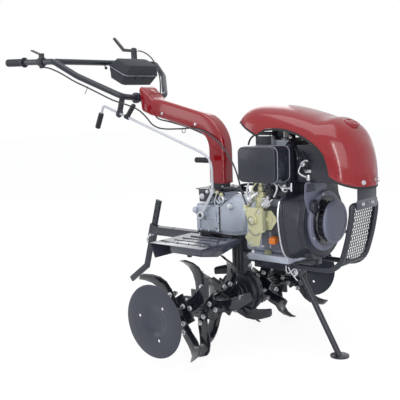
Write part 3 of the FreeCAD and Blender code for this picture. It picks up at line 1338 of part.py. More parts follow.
rod_y = size("rod_side")
rod_elbow = Vector(size("rod_x"), rod_y, size("rod_elbow_z"))
rod_top = Vector(size("rod_back_x"), size("rod_back_y"), size("rod_back_z"))
rod_end = rod_top - Vector(size("rod_drop_x"), 0, size("rod_drop_z"))
rod_route = [tuple(rod_end), tuple(rod_top), tuple(rod_elbow), (size("rod_x"), rod_y, size("rod_foot"))]
rod_bends = [size("rod_top_bend"), size("rod_knee")]
rod_way = (rod_top - rod_elbow).normalize()
node("shift_rod", drawn(tube(rod_route, rod_bends, size("rod_radius"))))


def on_rod(x):
    """The point of the shift rod's long run at a distance forward."""
    return rod_elbow + rod_way * ((x - rod_elbow.x) / rod_way.x)


rod_clear = size("rod_radius") + 0.3
second_radius = size("second_grip_radius")
third_radius = size("third_grip_radius")


def shift_grips():
    """Rubber grips on the shift rod: at its back end, on a short branch, and over the gearbox."""
    back_way = (rod_top - rod_end).normalize()
    back_grip = Part.makeCylinder(size("knob_radius"), size("knob_long"), rod_end - back_way * 6, back_way)
    ferrule_centre = on_rod(size("second_grip_x"))
    ferrule = Part.makeCylinder(second_radius, 26, ferrule_centre - rod_way * 13, rod_way)
    second_way = Vector(0.67, 0, 0.74)
    second_grip = Part.makeCylinder(second_radius, 74, ferrule_centre, second_way)
    third_start = Vector(size("third_grip_x"), rod_y, size("third_grip_z"))
    third_long = size("rod_x") - 8 - third_start.x
    third_grip = Part.makeCylinder(third_radius, third_long, third_start, Vector(1, 0, 0))
    clamp_foot = Vector(size("rod_x") - 4, rod_y, third_start.z - 10)
    third_clamp = Part.makeCylinder(third_radius - 1, 20, clamp_foot, Vector(0, 0, 1))
    hollow = tube(rod_route, rod_bends, rod_clear)
    grips = [back_grip, ferrule.fuse(second_grip), third_grip.fuse(third_clamp)]
    return Part.makeCompound([grip.cut(hollow).Solids[0] for grip in grips])


node("shift_grips", drawn(shift_grips()))


def hanger():
    """Plate that hangs from the right arm and guides the shift rod."""
    thick = 6
    wide = 30
    ring_centre = on_rod(size("rod_guide_x"))
    ring = Part.makeCylinder(20, 8, ring_centre - rod_way * 4, rod_way)
    top = Vector(size("knee_x") - 4, -size("knee_y") + 6, size("knee_z"))
    strap = Part.makeBox((top - ring_centre).Length, wide, thick, Vector(0, -wide / 2, -thick / 2))
    strap.Placement = Placement(ring_centre, Rotation(Vector(1, 0, 0), top - ring_centre))
    whole = ring.fuse(strap).cut(arm(-1, size("tube_radius") + 0.3))
    lowest_part = min(whole.Solids, key=lambda solid: solid.CenterOfMass.z)
    return lowest_part.cut(Part.makeCylinder(rod_clear, 80, ring_centre - rod_way * 40, rod_way))


node("rod_guide", drawn(hanger()))


def shift_crank():
    """Flat crank on the gearbox's selector shaft, pinned to the foot of the shift rod."""
    thick = 6
    strap_wide = 13
    lug = 18
    low = Vector(size("selector_x"), rod_y - thick / 2, size("selector_z"))
    high = Vector(size("rod_x"), rod_y - thick / 2, size("rod_foot") - 12)
    ring = Part.makeCylinder(strap_wide, thick, low, across)
    cap = Part.makeCylinder(lug / 2, thick, high, across)
    strap = Part.makeBox((high - low).Length, thick, strap_wide, Vector(0, 0, -strap_wide / 2))
    angle = math.degrees(math.atan2(high.z - low.z, high.x - low.x))
    strap.rotate(Vector(), across, -angle)
    strap.translate(low)
    lug_foot = Vector(size("rod_x") - lug / 2, rod_y - lug / 2 + 1, size("rod_foot") - lug - 0.3)
    rod_lug = Part.makeBox(lug, lug - 2, lug, lug_foot)
    hole = Part.makeCylinder(size("selector_radius") + 0.05, 20, low - across * 5, across)
    return ring.multiFuse([cap, strap, rod_lug]).cut(hole)


node("shift_crank", drawn(shift_crank()))

# ---------------------------------------------------------------- cables
# Points of each cable's route: forward, to the left, above ground.
THROTTLE_CABLE = [(-871.2, -340, 1214), (-826, -341, 1207), (-780, -332, 1189), (-744, -314, 1166),
                  (-712, -296, 1142), (-668, -256, 1112), (-622, -214, 1078), (-582, -178, 1048),
                  (-542, -134, 1028), (-504, -92, 1002), (-480, -66, 964), (-462, -54, 932),
                  (-426, -46, 914), (-376, -41, 909), (-330, -39, 910), (-280, -40, 911), (-220, -40, 915),
                  (-160, -40, 904), (-104, -43, 878), (-48, -53, 842), (4, -66, 796), (54, -88, 744),
                  (94, -116, 694), (130, -148, 656), (166, -166, 612)]
CLUTCH_CABLE = [(-947.2, 345, 1318), (-904, 340, 1309), (-858, 332, 1292), (-812, 320, 1266),
                (-770, 298, 1237), (-736, 281, 1202), (-702, 259, 1166), (-676, 235, 1138),
                (-640, 198, 1110), (-608, 164, 1084), (-588, 128, 1052), (-580, 94, 1022), (-562, 66, 990),
                (-530, 42, 968), (-488, 20, 954), (-444, 8, 948), (-400, 2, 942), (-344, -1, 930),
                (-286, -1, 917), (-228, 0, 898), (-176, 0, 880), (-146, 1, 828), (-145, 3, 764),
                (-147, 7, 704), (-156, 12, 652), (-164, 16, 602)]
for name, points in (("throttle_cable", THROTTLE_CABLE), ("clutch_cable", CLUTCH_CABLE)):
    radii = limp_radii(points)
    print(name, "arc radii", [round(radius) for radius in radii])
    node(name, drawn(tube(points, radii, size("cable_radius"))))

# ---------------------------------------------------------------- placing, checking and writing
doc.recompute()
empty = [piece.Label for piece in NODES if piece.Shape.isNull() or not piece.Shape.Solids]
if empty:
    raise RuntimeError("no solid in: " + ", ".join(empty))
spans = [piece.Shape.optimalBoundingBox(True, False) for piece in NODES]
middle = (min(span.XMin for span in spans) + max(span.XMax for span in spans)) / 2
sheet.set("B%d" % PLACING, str(round(-middle, 3)))
doc.recompute()
for piece in NODES:
    bound = {path.lstrip("."): text for path, text in piece.ExpressionEngine}
    for axis, shift in (("x", "+ Sizes.shift_x"), ("z", "- Sizes.ground")):
        path = "Placement.Base." + axis
        piece.setExpression(path, "%s %s" % (bound.get(path, "0"), shift))
doc.recompute()

for thing in doc.Objects:
    if "Invalid" in thing.State or "Error" in thing.State:
        raise RuntimeError("feature failed: " + thing.Label)
os.makedirs("parts", exist_ok=True)
for piece in NODES:
    if piece.Shape.isNull() or not piece.Shape.isValid() or not piece.Shape.Solids:
        raise RuntimeError("bad shape: " + piece.Label)
    piece.Shape.exportStep(os.path.join("parts", piece.Label + ".step"))
print(len(NODES), "pieces written; axle at X", size("shift_x"), "and Z", size("axle_height - ground"))
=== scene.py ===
import json
import math

import bmesh
import bpy
from mathutils import Matrix, Vector


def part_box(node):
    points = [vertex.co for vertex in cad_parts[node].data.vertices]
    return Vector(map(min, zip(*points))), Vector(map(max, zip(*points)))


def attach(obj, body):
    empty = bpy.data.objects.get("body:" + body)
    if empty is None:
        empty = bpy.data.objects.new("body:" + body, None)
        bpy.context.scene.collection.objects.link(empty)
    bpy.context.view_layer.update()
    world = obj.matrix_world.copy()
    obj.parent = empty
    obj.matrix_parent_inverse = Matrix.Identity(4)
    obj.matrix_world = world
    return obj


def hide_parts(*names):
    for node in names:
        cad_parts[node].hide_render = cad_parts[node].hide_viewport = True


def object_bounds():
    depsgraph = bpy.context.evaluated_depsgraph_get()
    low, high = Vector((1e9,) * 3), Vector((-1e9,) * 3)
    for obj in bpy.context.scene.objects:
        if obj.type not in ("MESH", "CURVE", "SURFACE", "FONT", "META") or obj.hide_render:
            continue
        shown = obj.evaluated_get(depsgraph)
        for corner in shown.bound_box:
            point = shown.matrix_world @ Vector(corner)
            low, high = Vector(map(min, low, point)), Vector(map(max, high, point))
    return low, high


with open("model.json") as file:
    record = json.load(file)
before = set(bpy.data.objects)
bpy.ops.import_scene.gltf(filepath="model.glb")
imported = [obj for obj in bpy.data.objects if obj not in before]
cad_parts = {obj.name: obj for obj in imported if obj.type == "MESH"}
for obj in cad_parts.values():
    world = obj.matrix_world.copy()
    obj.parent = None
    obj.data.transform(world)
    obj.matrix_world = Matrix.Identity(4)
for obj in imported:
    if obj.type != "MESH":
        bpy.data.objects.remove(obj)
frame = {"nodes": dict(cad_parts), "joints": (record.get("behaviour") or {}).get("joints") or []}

bl_info = {
    "name": "Rotary tiller looks",
    "version": (1, 0, 0),
    "blender": (4, 5, 0),
    "location": "View3D > Sidebar > Tiller",
    "description": "Finishes and fine pieces of a walk-behind rotary tiller around its packed frame",
    "category": "Object",
}

CAD_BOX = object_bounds()
JOINTS = {joint["name"]: joint for joint in frame["joints"]}
AXLE = Vector(JOINTS["rotor_spin"]["pos_m"])
AXLE_HEIGHT = 195
UP = Vector((0, 0, 1))
LEFT = Vector((0, 1, 0))
AHEAD = Vector((1, 0, 0))
DOWN, RIGHT, BACK = -UP, -LEFT, -AHEAD
SIDES = (("left", 1), ("right", -1))


def at(x, y, z):
    """A place in metres from millimetres ahead of the rotor axle, left of it and above the ground."""
    return Vector((AXLE.x + x / 1000, y / 1000, AXLE.z + (z - AXLE_HEIGHT) / 1000))


def places(*spots):
    return [at(*spot) for spot in spots]


def middle(node):
    low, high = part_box(node)
    return (low + high) / 2


# ---------------------------------------------------------------- finishes
# name: record slot, colour, metallic, roughness, coat, grain size, grain depth, mottling
FINISHES = {
    "red_enamel": ("red_paint", (0.30, 0.004, 0.010), 0.0, 0.17, 0.6, 900, 0.004, 0.04),
    "powder_coat": ("black_paint", (0.022, 0.025, 0.038), 0.0, 0.30, 0.25, 1400, 0.04, 0.12),
    "gloss_enamel": ("gloss_black", (0.010, 0.011, 0.017), 0.0, 0.17, 0.8, 500, 0.02, 0.15),
    "disc_enamel": ("disc_paint", (0.040, 0.045, 0.066), 0.0, 0.38, 0.2, 700, 0.03, 0.12),
    "case_enamel": ("final_paint", (0.018, 0.020, 0.028), 0.0, 0.38, 0.2, 420, 0.08, 0.12),
    # painted shade: dark grey for a plate laid on the crankcase's near side where only shade falls
    "painted_shade_grey": ("final_paint", (0.150, 0.158, 0.200), 0.0, 0.36, 0.2, 700, 0.10, 0.20),
    "cast_alloy": ("cast_aluminium", (0.50, 0.54, 0.62), 0.55, 0.46, 0.0, 620, 0.16, 0.16),
    "yellow_zinc": ("yellow_zinc", (0.72, 0.71, 0.46), 0.35, 0.36, 0.1, 260, 0.02, 0.14),
    "bright_zinc": ("bright_steel", (0.74, 0.75, 0.78), 0.9, 0.28, 0.0, 800, 0.03, 0.10),
    "drawn_steel": ("bright_steel", (0.64, 0.65, 0.70), 0.30, 0.34, 0.1, 700, 0.002, 0.03),
    "pump_steel": ("pump_steel", (0.42, 0.42, 0.40), 0.8, 0.38, 0.0, 500, 0.06, 0.22),
    "starter_enamel": ("starter_grey", (0.19, 0.20, 0.275), 0.0, 0.42, 0.1, 800, 0.04, 0.06),
    "box_plastic": ("box_plastic", (0.030, 0.033, 0.048), 0.0, 0.34, 0.15, 1600, 0.05, 0.06),
    "lever_plastic": ("box_plastic", (0.030, 0.031, 0.040), 0.0, 0.46, 0.0, 1500, 0.08, 0.06),
    "soft_rubber": ("black_rubber", (0.018, 0.019, 0.023), 0.0, 0.58, 0.0, 1200, 0.10, 0.10),
    "grip_rubber": ("black_rubber", (0.032, 0.035, 0.046), 0.0, 0.46, 0.0, 1200, 0.08, 0.10),
    "fender_coat": ("black_paint", (0.050, 0.055, 0.080), 0.0, 0.20, 0.9, 1400, 0.02, 0.12),
    "cable_jacket": ("black_rubber", (0.045, 0.046, 0.052), 0.0, 0.42, 0.0, 900, 0.03, 0.06),
    "signal_orange": ("box_plastic", (0.80, 0.21, 0.03), 0.0, 0.36, 0.0, 900, 0.03, 0.05),
    "olive_plastic": ("box_plastic", (0.30, 0.31, 0.20), 0.0, 0.44, 0.0, 900, 0.05, 0.08),
    # painted highlight: pale blue-grey for beads on black paint, where a highlight runs along them
    "painted_highlight_edge": ("black_paint", (0.32, 0.33, 0.40), 0.2, 0.30, 0.3, 900, 0.01, 0.10),
    "white_nylon": ("bright_steel", (0.82, 0.83, 0.85), 0.0, 0.40, 0.0, 900, 0.02, 0.04),
}
CLOUD_SCALE, CLOUD_DETAIL = 9, 5
CLOUD_RANGE = (0.3, 0.7)
GRAIN_DETAIL, GRAIN_STRENGTH, GRAIN_HEIGHT = 2, 4, 0.0006
WEAR_RANGE = (0.85, 1.2)
COAT_ROUGHNESS = 0.06

# rounding of a folded sheet's edges in metres, and steps round a wide turned piece
SHEET_EDGE = 0.0008
WIDE_STEPS = 96


def preset(node, **values):
    """Sets a shader node's inputs by their names, with an underscore for a space."""
    for name, value in values.items():
        node.inputs[name.replace("_", " ")].default_value = value
    return node


def new_node(tree, kind, **values):
    return preset(tree.nodes.new("ShaderNode" + kind), **values)


def sum_node(tree, operation, number):
    """A calculation on a first value, which a link brings, and a number."""
    made = new_node(tree, "Math")
    made.operation = operation
    made.inputs[1].default_value = number
    return made


def link(tree, *rows):
    """Links shader nodes: each row has a node, its output, the next node and its input."""
    for source, output, target, entry in rows:
        tree.links.new(source.outputs[output], target.inputs[entry])


def material(name):
    """Makes a finish once: a cloud mottles its colour and wears its gloss, and a speck gives it a grain."""
    if name in bpy.data.materials:
        return bpy.data.materials[name]
    colour, metallic, roughness, gloss, grain, depth, mottle = FINISHES[name][1:]
    made = bpy.data.materials.new(name)
    made.use_nodes = True
    tree = made.node_tree
    shader = preset(tree.nodes["Principled BSDF"], Metallic=metallic, Coat_Weight=gloss,
                    Coat_Roughness=COAT_ROUGHNESS)
    place = new_node(tree, "TexCoord")
    cloud = new_node(tree, "TexNoise", Scale=CLOUD_SCALE, Detail=CLOUD_DETAIL)
    speck = new_node(tree, "TexNoise", Scale=grain, Detail=GRAIN_DETAIL)
    tone = new_node(tree, "ValToRGB")
    for end, stop, share in zip(tone.color_ramp.elements, CLOUD_RANGE, (1 - mottle, 1 + mottle)):
        end.position = stop
        end.color = [min(channel * share, 1) for channel in colour] + [1]
    worn = new_node(tree, "MapRange", From_Min=CLOUD_RANGE[0], From_Max=CLOUD_RANGE[1],
                    To_Min=roughness * WEAR_RANGE[0], To_Max=min(roughness * WEAR_RANGE[1], 1))
    bump = new_node(tree, "Bump", Strength=min(depth * GRAIN_STRENGTH, 1), Distance=GRAIN_HEIGHT)
    link(tree, (place, "Object", cloud, "Vector"), (place, "Object", speck, "Vector"),
         (cloud, "Fac", tone, "Fac"), (tone, "Color", shader, "Base Color"),
         (cloud, "Fac", worn, "Value"), (worn, "Result", shader, "Roughness"),
         (speck, "Fac", bump, "Height"), (bump, "Normal", shader, "Normal"))
    return made


# ---------------------------------------------------------------- the workshop
def fresh():
    """Leaves nothing selected, so that the next operator acts on its own piece only."""
    if bpy.context.object and bpy.context.object.mode != "OBJECT":
        bpy.ops.object.mode_set(mode="OBJECT")
    bpy.ops.object.select_all(action="DESELECT")


def take(piece):
    fresh()
    piece.select_set(True)
    bpy.context.view_layer.objects.active = piece


def edit(piece):
    take(piece)
    bpy.ops.object.mode_set(mode="EDIT")
    bpy.ops.mesh.select_mode(type="EDGE")
    bpy.ops.mesh.select_all(action="SELECT")


def pick_edges(piece, wanted):
    """Selects, in edit mode, the edges that a test wants."""
    bpy.ops.mesh.select_all(action="DESELECT")
    cage = bmesh.from_edit_mesh(piece.data)
    cage.verts.ensure_lookup_table()
    for edge in cage.edges:
        edge.select = wanted(edge)
    bmesh.update_edit_mesh(piece.data)


def done(piece):
    bpy.ops.object.mode_set(mode="OBJECT")
    return piece


def faces_out(piece):
    """Turns a closed shape's faces outwards and leaves edit mode."""
    bpy.ops.mesh.select_all(action="SELECT")
    bpy.ops.mesh.normals_make_consistent(inside=False)
    return done(piece)


def set_place(piece):
    take(piece)
    bpy.ops.object.transform_apply(location=True, rotation=True, scale=True)
    return piece


def round_sharp(piece, width, steps=2, above=40):
    """Rounds the edges sharper than an angle in degrees."""
    edit(piece)
    bpy.ops.mesh.select_all(action="DESELECT")
    bpy.ops.mesh.edges_select_sharp(sharpness=math.radians(above))
    bpy.ops.mesh.bevel(offset=width, segments=steps, affect="EDGES", clamp_overlap=True)
    return done(piece)


def modify(piece, kind, **settings):
    take(piece)
    modifier = piece.modifiers.new(kind.lower(), kind)
    for name, value in settings.items():
        setattr(modifier, name, value)
    bpy.ops.object.modifier_apply(modifier=modifier.name)
    return piece


def facing(way):
    return Vector(way).to_track_quat("Z", "Y").to_euler()


def shown(name, data):
    """An object in the scene for new mesh, curve, light or camera data."""
    piece = bpy.data.objects.new(name, data)
    bpy.context.collection.objects.link(piece)
    return piece


def drawn(name, points, lines=(), faces=()):
    """A mesh from its points, in edit mode."""
    mesh = bpy.data.meshes.new(name)
    mesh.from_pydata([tuple(point) for point in points], lines, faces)
    piece = shown(name, mesh)
    edit(piece)
    return piece


def cube(low, high):
    """A sharp block between two corners."""
    fresh()
    bpy.ops.mesh.primitive_cube_add(size=1, location=(low + high) / 2)
    piece = bpy.context.object
    piece.scale = [abs(side) for side in high - low]
    return set_place(piece)


def block(low, high, rounding=0.002, steps=2):
    """A rounded block between two corners."""
    return round_sharp(cube(Vector(low), Vector(high)), rounding, steps)


def cylinder(centre, way, radius, long, sides):
    fresh()
    bpy.ops.mesh.primitive_cylinder_add(vertices=sides, radius=radius, depth=long, location=centre,
                                        rotation=facing(way))
    return bpy.context.object


def drum(centre, way, radius, long, rounding=0.0015, sides=40):
    """A round bar about its middle with rounded rims."""
    return round_sharp(set_place(cylinder(centre, way, radius, long, sides)), rounding, above=50)


def bored(piece, centre, way, radius, deep):
    """Cuts a round hole."""
    cutter = cylinder(centre, way, radius, deep, 28)
    modify(piece, "BOOLEAN", operation="DIFFERENCE", object=cutter, solver="EXACT")
    bpy.data.objects.remove(cutter)
    return piece


def turned(centre, way, profile, steps=48):
    """A turned piece: profile has radius and height along way, in millimetres, out from the axis and back."""
    piece = drawn("turned", [(radius / 1000, 0, height / 1000) for radius, height in profile],
                  [(step, step + 1) for step in range(len(profile) - 1)])
    bpy.ops.mesh.spin(steps=steps, angle=math.tau, center=(0, 0, 0), axis=(0, 0, 1))
    bpy.ops.mesh.select_all(action="SELECT")
    bpy.ops.mesh.remove_doubles(threshold=1e-6)
    faces_out(piece)
    piece.rotation_euler = facing(way)
    piece.location = centre
    return set_place(piece)


def swept(points, radius, sides, kind, **settings):
    """A round bar along a line through control points, whose kind and settings say how it runs."""
    line = bpy.data.curves.new("pipe", "CURVE")
    line.dimensions = "3D"
    line.bevel_depth = radius
    line.bevel_resolution = sides
    line.resolution_u = 6
    line.use_fill_caps = True
    run = line.splines.new(kind)
    run.points.add(len(points) - 1)
    for knot, point in zip(run.points, points):
        knot.co = (*point, 1)
    for name, value in settings.items():
        setattr(run, name, value)
    take(shown("pipe", line))
    bpy.ops.object.convert(target="MESH")
    return bpy.context.object


def pipe(points, radius, sides=3, order=3):
    """A round wire or pipe that starts and ends on its control points and rounds the others."""
    return swept(points, radius, sides, "NURBS", order_u=order, use_endpoint_u=True)


def closed_pipe(points, radius):
    """A round bead along a closed line."""
    return swept(points, radius, 2, "POLY", use_cyclic_u=True)


def hose(radius, *spots):
    """A pipe by control points in millimetres."""
    return pipe(places(*spots), radius)


def smooth(points, steps=6):
    """More points on a smooth line that passes through the given ones."""
    ends = [points[0] * 2 - points[1]] + list(points) + [points[-1] * 2 - points[-2]]
    line = []
    for before, start, end, after in zip(ends, ends[1:], ends[2:], ends[3:]):
        for step in range(steps):
            t = step / steps
            line.append((start * 2 + (end - before) * t + (before * 2 - start * 5 + end * 4 - after) * t ** 2
                         + (start * 3 - before - end * 3 + after) * t ** 3) / 2)
    return line + [points[-1]]


def bent(points, reaches):
    """Control points for a pipe that runs straight and turns round each inner corner within a reach."""
    line = [points[0]]
    for before, corner, after, reach in zip(points, points[1:], points[2:], reaches):
        line += [corner + (before - corner).normalized() * reach, corner,
                 corner + (after - corner).normalized() * reach]
    return line + [points[-1]]


def section(centre, up, half, tall, corner, steps=6):
    """The points of a rounded rectangle: half wide and tall each way from its centre, up its height."""
    ring = []
    for side_y, side_z, start in ((1, 1, 0), (-1, 1, 90), (-1, -1, 180), (1, -1, 270)):
        for step in range(steps + 1):
            angle = math.radians(start + 90 * step / steps)
            ring.append(centre + LEFT * (side_y * (half - corner) + corner * math.cos(angle))
                        + up * (side_z * (tall - corner) + corner * math.sin(angle)))
    return ring


def section_between(high, low, half, corner):
    """A rounded rectangle that reaches from one place down to another."""
    return section((high + low) / 2, (high - low).normalized(), half, (high - low).length / 2, corner)


def lofted(rings):
    """A closed skin through rings with the same number of points."""
    count = len(rings[0])
    lines = [(ring * count + step, ring * count + (step + 1) % count)
             for ring in range(len(rings)) for step in range(count)]
    piece = drawn("loft", [point for ring in rings for point in ring], lines)
    for first in range(len(rings) - 1):
        rims = ({first}, {first + 1})
        pick_edges(piece, lambda edge: {corner.index // count for corner in edge.verts} in rims)
        bpy.ops.mesh.bridge_edge_loops()
    bpy.ops.mesh.select_all(action="SELECT")
    bpy.ops.mesh.fill_holes(sides=0)
    return faces_out(piece)


def sheet(outline, way, thick, rounding=0.0006):
    """A flat plate from its outline's points, thickened along way."""
    piece = drawn("sheet", outline, faces=[range(len(outline))])
    bpy.ops.mesh.extrude_region_move(TRANSFORM_OT_translate={"value": Vector(way) * thick})
    return round_sharp(faces_out(piece), rounding)


def moved(piece, matrix):
    piece.data.transform(matrix)
    return piece


def joined(pieces):
    take(pieces[0])
    for piece in pieces:
        piece.select_set(True)
    if len(pieces) > 1:
        bpy.ops.object.join()
    return bpy.context.object


def settle(pieces, name, finish, smooth_below=32, instead=(), body="chassis"):
    """Joins pieces under one name, gives them their finish and lets them ride on their body."""
    piece = set_place(joined(pieces))
    bpy.ops.object.shade_smooth_by_angle(angle=math.radians(smooth_below))
    piece.name = name
    piece.data.materials.clear()
    piece.data.materials.append(material(finish))
    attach(piece, body)
    if instead:
        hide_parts(*instead)
    return piece


def coat(finish, *nodes):
    """Gives pieces of the frame their finish."""
    for node in nodes:
        mesh = frame["nodes"][node].data
        mesh.materials.clear()
        mesh.materials.append(material(finish))


def softened(node, finish, width=0.0015, steps=2, body="chassis", above=38):
    """A merged copy of a frame piece with its hard edges rounded, shown instead of it."""
    piece = shown(node + "_rounded", frame["nodes"][node].data.copy())
    edit(piece)
    bpy.ops.mesh.customdata_custom_splitnormals_clear()
    bpy.ops.mesh.remove_doubles(threshold=2e-6)
    bpy.ops.mesh.dissolve_limited(angle_limit=math.radians(0.6))
    done(piece)
    modify(piece, "BEVEL", width=width, segments=steps, limit_method="ANGLE", angle_limit=math.radians(above),
           harden_normals=False, use_clamp_overlap=True)
    return settle([piece], node + "_rounded", finish, smooth_below=34, instead=(node,), body=body)


def hex_bolt(size, shank):
    """A hexagon head on its washer at the origin, looking up; size is the thread, shank what stands out."""
    head = drum(UP * size * 0.55, UP, size * 0.92, size * 0.7, size * 0.09, 6)
    washer = drum(UP * size * 0.12, UP, size * 1.12, size * 0.24, size * 0.05, 28)
    pieces = [washer, head]
    if shank:
        stub = UP * (size * 0.95 + shank / 2)
        pieces.append(drum(stub, UP, size * 0.5, size * 0.3 + shank, size * 0.08, 20))
    return joined(pieces)


def bolts(name, rows, finish="bright_zinc", body="chassis"):
    """Bolt heads by a table: place, way it looks, and thread and thread standing out, in millimetres."""
    made = []
    for place, way, size, stub in rows:
        piece = hex_bolt(size / 1000, stub / 1000)
        piece.rotation_euler = facing(way)
        piece.location = place
        made.append(set_place(piece))
    return settle(made, name, finish, body=body)


# ---------------------------------------------------------------- sizes and colours a user may change
class TillerDetails(bpy.types.PropertyGroup):
    edge: bpy.props.FloatProperty(name="Edge rounding", description="Rounding of cast and folded edges",
                                  default=0.0018, unit="LENGTH")
    bead: bpy.props.FloatProperty(name="Bead", description="Thickness of seams, beads and edgings",
                                  default=0.0022, unit="LENGTH")
    grip_ribs: bpy.props.IntProperty(name="Grip ribs", description="Ribs round a hand grip",
                                     default=17, min=4)
    cup_ribs: bpy.props.IntProperty(name="Starter slots", description="Vent slots round the recoil starter",
                                    default=22)


class TillerLight(bpy.types.PropertyGroup):
    floor: bpy.props.FloatVectorProperty(name="Floor", description="Colour of floor and backdrop",
                                         subtype="COLOR", default=(0.95, 0.95, 0.95))
    key: bpy.props.FloatProperty(name="Key light", description="Power of the large light overhead",
                                 default=46)
    fill: bpy.props.FloatProperty(name="Fill light", description="Power of the lights round the machine",
                                  default=24)
    sky: bpy.props.FloatProperty(name="Sky", description="Strength of the even light", default=0.55)


def details():
    return bpy.context.scene.tiller_details


# ---------------------------------------------------------------- rotor
class TILLER_OT_rotor(bpy.types.Operator):
    """Reels, side discs and tine bolts"""
    bl_idname = "tiller.rotor"
    bl_label = "Rotor"

    def execute(self, context):
        coat("bright_zinc", "rotor_axle")
        for side_name, side in SIDES:
            softened("tine_reel_" + side_name, "gloss_enamel", 0.0011, body="rotor", above=50)
            self.disc("side_disc_" + side_name, side)
            self.tine_bolts(side_name, side)
        return {"FINISHED"}

    def disc(self, node, side):
        """Dished disc with its three holes and a rolled rim."""
        low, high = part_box(node)
        radius = (high.x - low.x) * 500
        way = LEFT * side
        centre = Vector((AXLE.x, high.y if side > 0 else low.y, AXLE.z))
        outer_face = [(0, -13), (30, -12.6), (44, -10.5), (54, -5), (62, -1.6), (72, -0.4), (100, 0)]
        rolled_rim = [(radius - 3, 0), (radius - 0.4, -1.2), (radius, -2), (radius - 1, -3.4),
                      (radius - 4, -3.2)]
        inner_face = [(100, -3.1), (72, -3.5), (60, -5), (50, -9), (40, -14), (28, -15.8), (0, -16)]
        skin = turned(centre, way, outer_face + rolled_rim + inner_face, WIDE_STEPS)
        hole_circle, hole_radius, through = 0.076, 0.006, 0.03
        for angle in (170, 50, -72):
            spot = Matrix.Rotation(math.radians(-angle), 3, "Y") @ Vector((hole_circle, 0, 0))
            bored(skin, centre + spot, way, hole_radius, through)
        settle([skin], node + "_dished", "disc_enamel", smooth_below=40, instead=(node,), body="rotor")

    def tine_bolts(self, side_name, side):
        """Two bolts for each tine, on both faces of each hub's plate."""
        first_angle, lag, plate_face, thread = 28.6, 30, 12.5, 9.5
        rows = []
        for hub, distance in enumerate((119, 262, 408)):
            for tine in range(4):
                angle = math.radians(first_angle - hub * lag + tine * 90)
                for radius, across in ((48, 11), (78, -9)):
                    x = radius * math.cos(angle) + across * math.sin(angle)
                    z = -radius * math.sin(angle) + across * math.cos(angle)
                    for face, stub in ((side, 0), (-side, 5)):
                        rows.append((at(x, side * distance + face * plate_face, AXLE_HEIGHT + z), LEFT * face,
                                     thread, stub))
        bolts("tine_bolts_" + side_name, rows, body="rotor")


